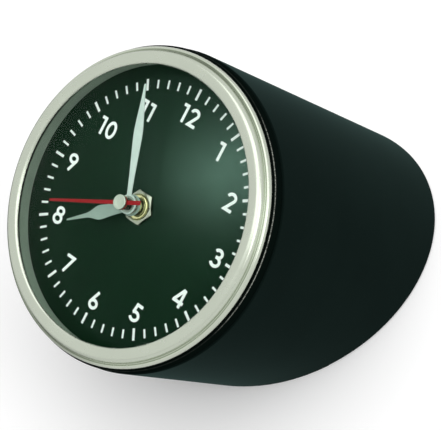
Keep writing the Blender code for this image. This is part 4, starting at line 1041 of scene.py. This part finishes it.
def build_lying_parts(nickel):
    """The battery, the coil's winding and the crystal, which lie across the movement."""
    matrix, radius, half = axial_matrix("battery_cell")
    shoulder = half - BATTERY_NUB
    foot, hollow, ring = (radius * share for share in BATTERY_FOOT_SHARES)
    cell = filleted([
        (0, -half, 0),
        (foot, -half, 0),
        (hollow, -half + BATTERY_HOLLOW, 0.1),
        (ring, -half + BATTERY_HOLLOW, 0.1),
        (radius, -half, 0.5),
        (radius, shoulder, 0.7),
        (radius * BATTERY_CRIMP_SHARE, shoulder - BATTERY_CRIMP, 0.2),
        (BATTERY_NUB_RADIUS, shoulder - BATTERY_SEAL, 0),
        (BATTERY_NUB_RADIUS, half, 0.4),
        (0, half, 0),
    ], closed=False)
    wrap = make_wrap_finish(shoulder - BATTERY_BAND)
    piece("battery", spun(cell, BATTERY_STEPS), wrap, "case", ["battery_cell"], matrix=matrix)
    matrix, radius, half = axial_matrix("coil_winding")
    turns = round(2 * half / WIRE_PITCH)
    pitch = 2 * half / turns
    core = span("coil_winding", matrix.inverted())[0]
    outline = [Vector((core, -half))]
    for step in range(turns * WIRE_STEPS):
        bulge = math.sin(math.pi * (step % WIRE_STEPS) / WIRE_STEPS)
        outline.append(Vector((radius - pitch / 2 * (1 - bulge), -half + pitch * step / WIRE_STEPS)))
    outline += [Vector((radius - pitch / 2, half)), Vector((core, half))]
    copper = make_copper_finish()
    piece("winding", spun(outline, COIL_STEPS), copper, "case", ["coil_winding"], matrix=matrix)
    matrix, radius, half = axial_matrix("quartz_crystal")
    can = filleted([(0, -half, 0), (radius, -half, 0.1), (radius, half, 0.3), (0, half, 0)], closed=False)
    piece("crystal_can", spun(can, COIL_STEPS), nickel, "case", ["quartz_crystal"], matrix=matrix)


# -----------------------------------------------------------------------------
# Floor, light and camera
# -----------------------------------------------------------------------------


def build_floor():
    """A pale floor that meets the white background, and keeps the clock's shadow."""
    bm = bmesh.new()
    bmesh.ops.create_grid(bm, x_segments=1, y_segments=1, size=FLOOR_SIZE / 2)
    mesh = bpy.data.meshes.new("floor")
    bm.to_mesh(mesh)
    bm.free()
    floor = bpy.data.objects.new("floor", mesh)
    bpy.context.scene.collection.objects.link(floor)
    finish = Finish("floor_paper", FLOOR_COLOUR, 0.9, specular=0.1)
    finish.mottle(60 * MM, 0.004)
    path = finish.add("ShaderNodeLightPath")
    seen = finish.math("MAXIMUM", path.outputs["Is Camera Ray"], path.outputs["Is Transmission Ray"])
    glow = finish.add("ShaderNodeEmission", {"Strength": finish.math("MULTIPLY", seen, FLOOR_GLOW)})
    both = finish.add("ShaderNodeAddShader", {0: finish.shader.outputs[0], 1: glow.outputs[0]})
    finish.tree.links.new(both.outputs[0], finish.tree.nodes["Material Output"].inputs["Surface"])
    floor.data.materials.append(finish.material)


def build_world():
    """White to the camera and in reflections, and a softer grey as light."""
    world = bpy.data.worlds.new("studio")
    world.use_nodes = True
    bpy.context.scene.world = world
    tree = world.node_tree
    background = tree.nodes["Background"]
    path = tree.nodes.new("ShaderNodeLightPath")
    seen = path.outputs["Is Camera Ray"]
    for name in ("Is Transmission Ray", "Is Glossy Ray"):
        either = tree.nodes.new("ShaderNodeMath")
        either.operation = "MAXIMUM"
        tree.links.new(seen, either.inputs[0])
        tree.links.new(path.outputs[name], either.inputs[1])
        seen = either.outputs[0]
    level = tree.nodes.new("ShaderNodeMapRange")
    level.inputs["To Min"].default_value = WORLD_LIGHT
    level.inputs["To Max"].default_value = 1.0
    tree.links.new(seen, level.inputs["Value"])
    tree.links.new(level.outputs["Result"], background.inputs["Strength"])
    background.inputs["Color"].default_value = (1, 1, 1, 1)


def add_lamp(name, way, distance, size, power):
    """A soft box that faces the dial's centre, in a direction given in the world."""
    light = bpy.data.lights.new(name, "AREA")
    light.shape = "RECTANGLE"
    light.size, light.size_y = size
    light.energy = power
    lamp = bpy.data.objects.new(name, light)
    bpy.context.scene.collection.objects.link(lamp)
    way = Vector(way).normalized()
    lamp.location = dial_matrix.translation + way * distance
    lamp.rotation_euler = way.to_track_quat("Z", "Y").to_euler()
    return lamp


def add_dial_lamp(targets):
    """A small lamp for the dial alone, whose blurred reflection is the glow between its middle and its 1."""
    lamp = add_lamp(*DIAL_LAMP)
    lit = bpy.data.collections.new("lit_by_dial_box")
    for target in targets:
        lit.objects.link(target)
    lamp.light_linking.receiver_collection = lit
    lamp.light_linking.blocker_collection = lit


def build_camera():
    """The photograph's camera."""
    camera = bpy.data.objects.new("camera", bpy.data.cameras.new("camera"))
    bpy.context.scene.collection.objects.link(camera)
    turn = Matrix((CAMERA_RIGHT, -CAMERA_DOWN, -CAMERA_FORWARD)).transposed().to_4x4()
    camera.matrix_world = dial_matrix @ Matrix.Translation(CAMERA_PLACE) @ turn
    camera.data.sensor_width = SENSOR_WIDTH
    camera.data.lens = CAMERA_FOCAL_WIDTHS * SENSOR_WIDTH
    camera.data.clip_start, camera.data.clip_end = CAMERA_CLIP
    bpy.context.scene.camera = camera


bpy.context.scene.view_settings.view_transform = "Standard"

rubber = make_rubber_finish()
nickel = turned("turned_nickel", (0.36, 0.40, 0.31), 0.26)
brass = turned("turned_brass", (0.72, 0.71, 0.38), 0.25)
dark = turned("dark_metal", (0.06, 0.06, 0.05), 0.25)

build_camera()
build_housing()
dress(rubber, *(f"foot_pad_{number}" for number in range(1, 5)))
build_case()
build_bezel()
build_lens()
dial_pieces = build_dial()
build_hub(brass, nickel, rubber)
build_hands(nickel, dark, brass)
dress_movement()
dress(brass, "cannon_pinion")
build_lying_parts(nickel)
build_floor()
build_world()
for lamp in LAMPS:
    add_lamp(*lamp)
add_dial_lamp(dial_pieces)
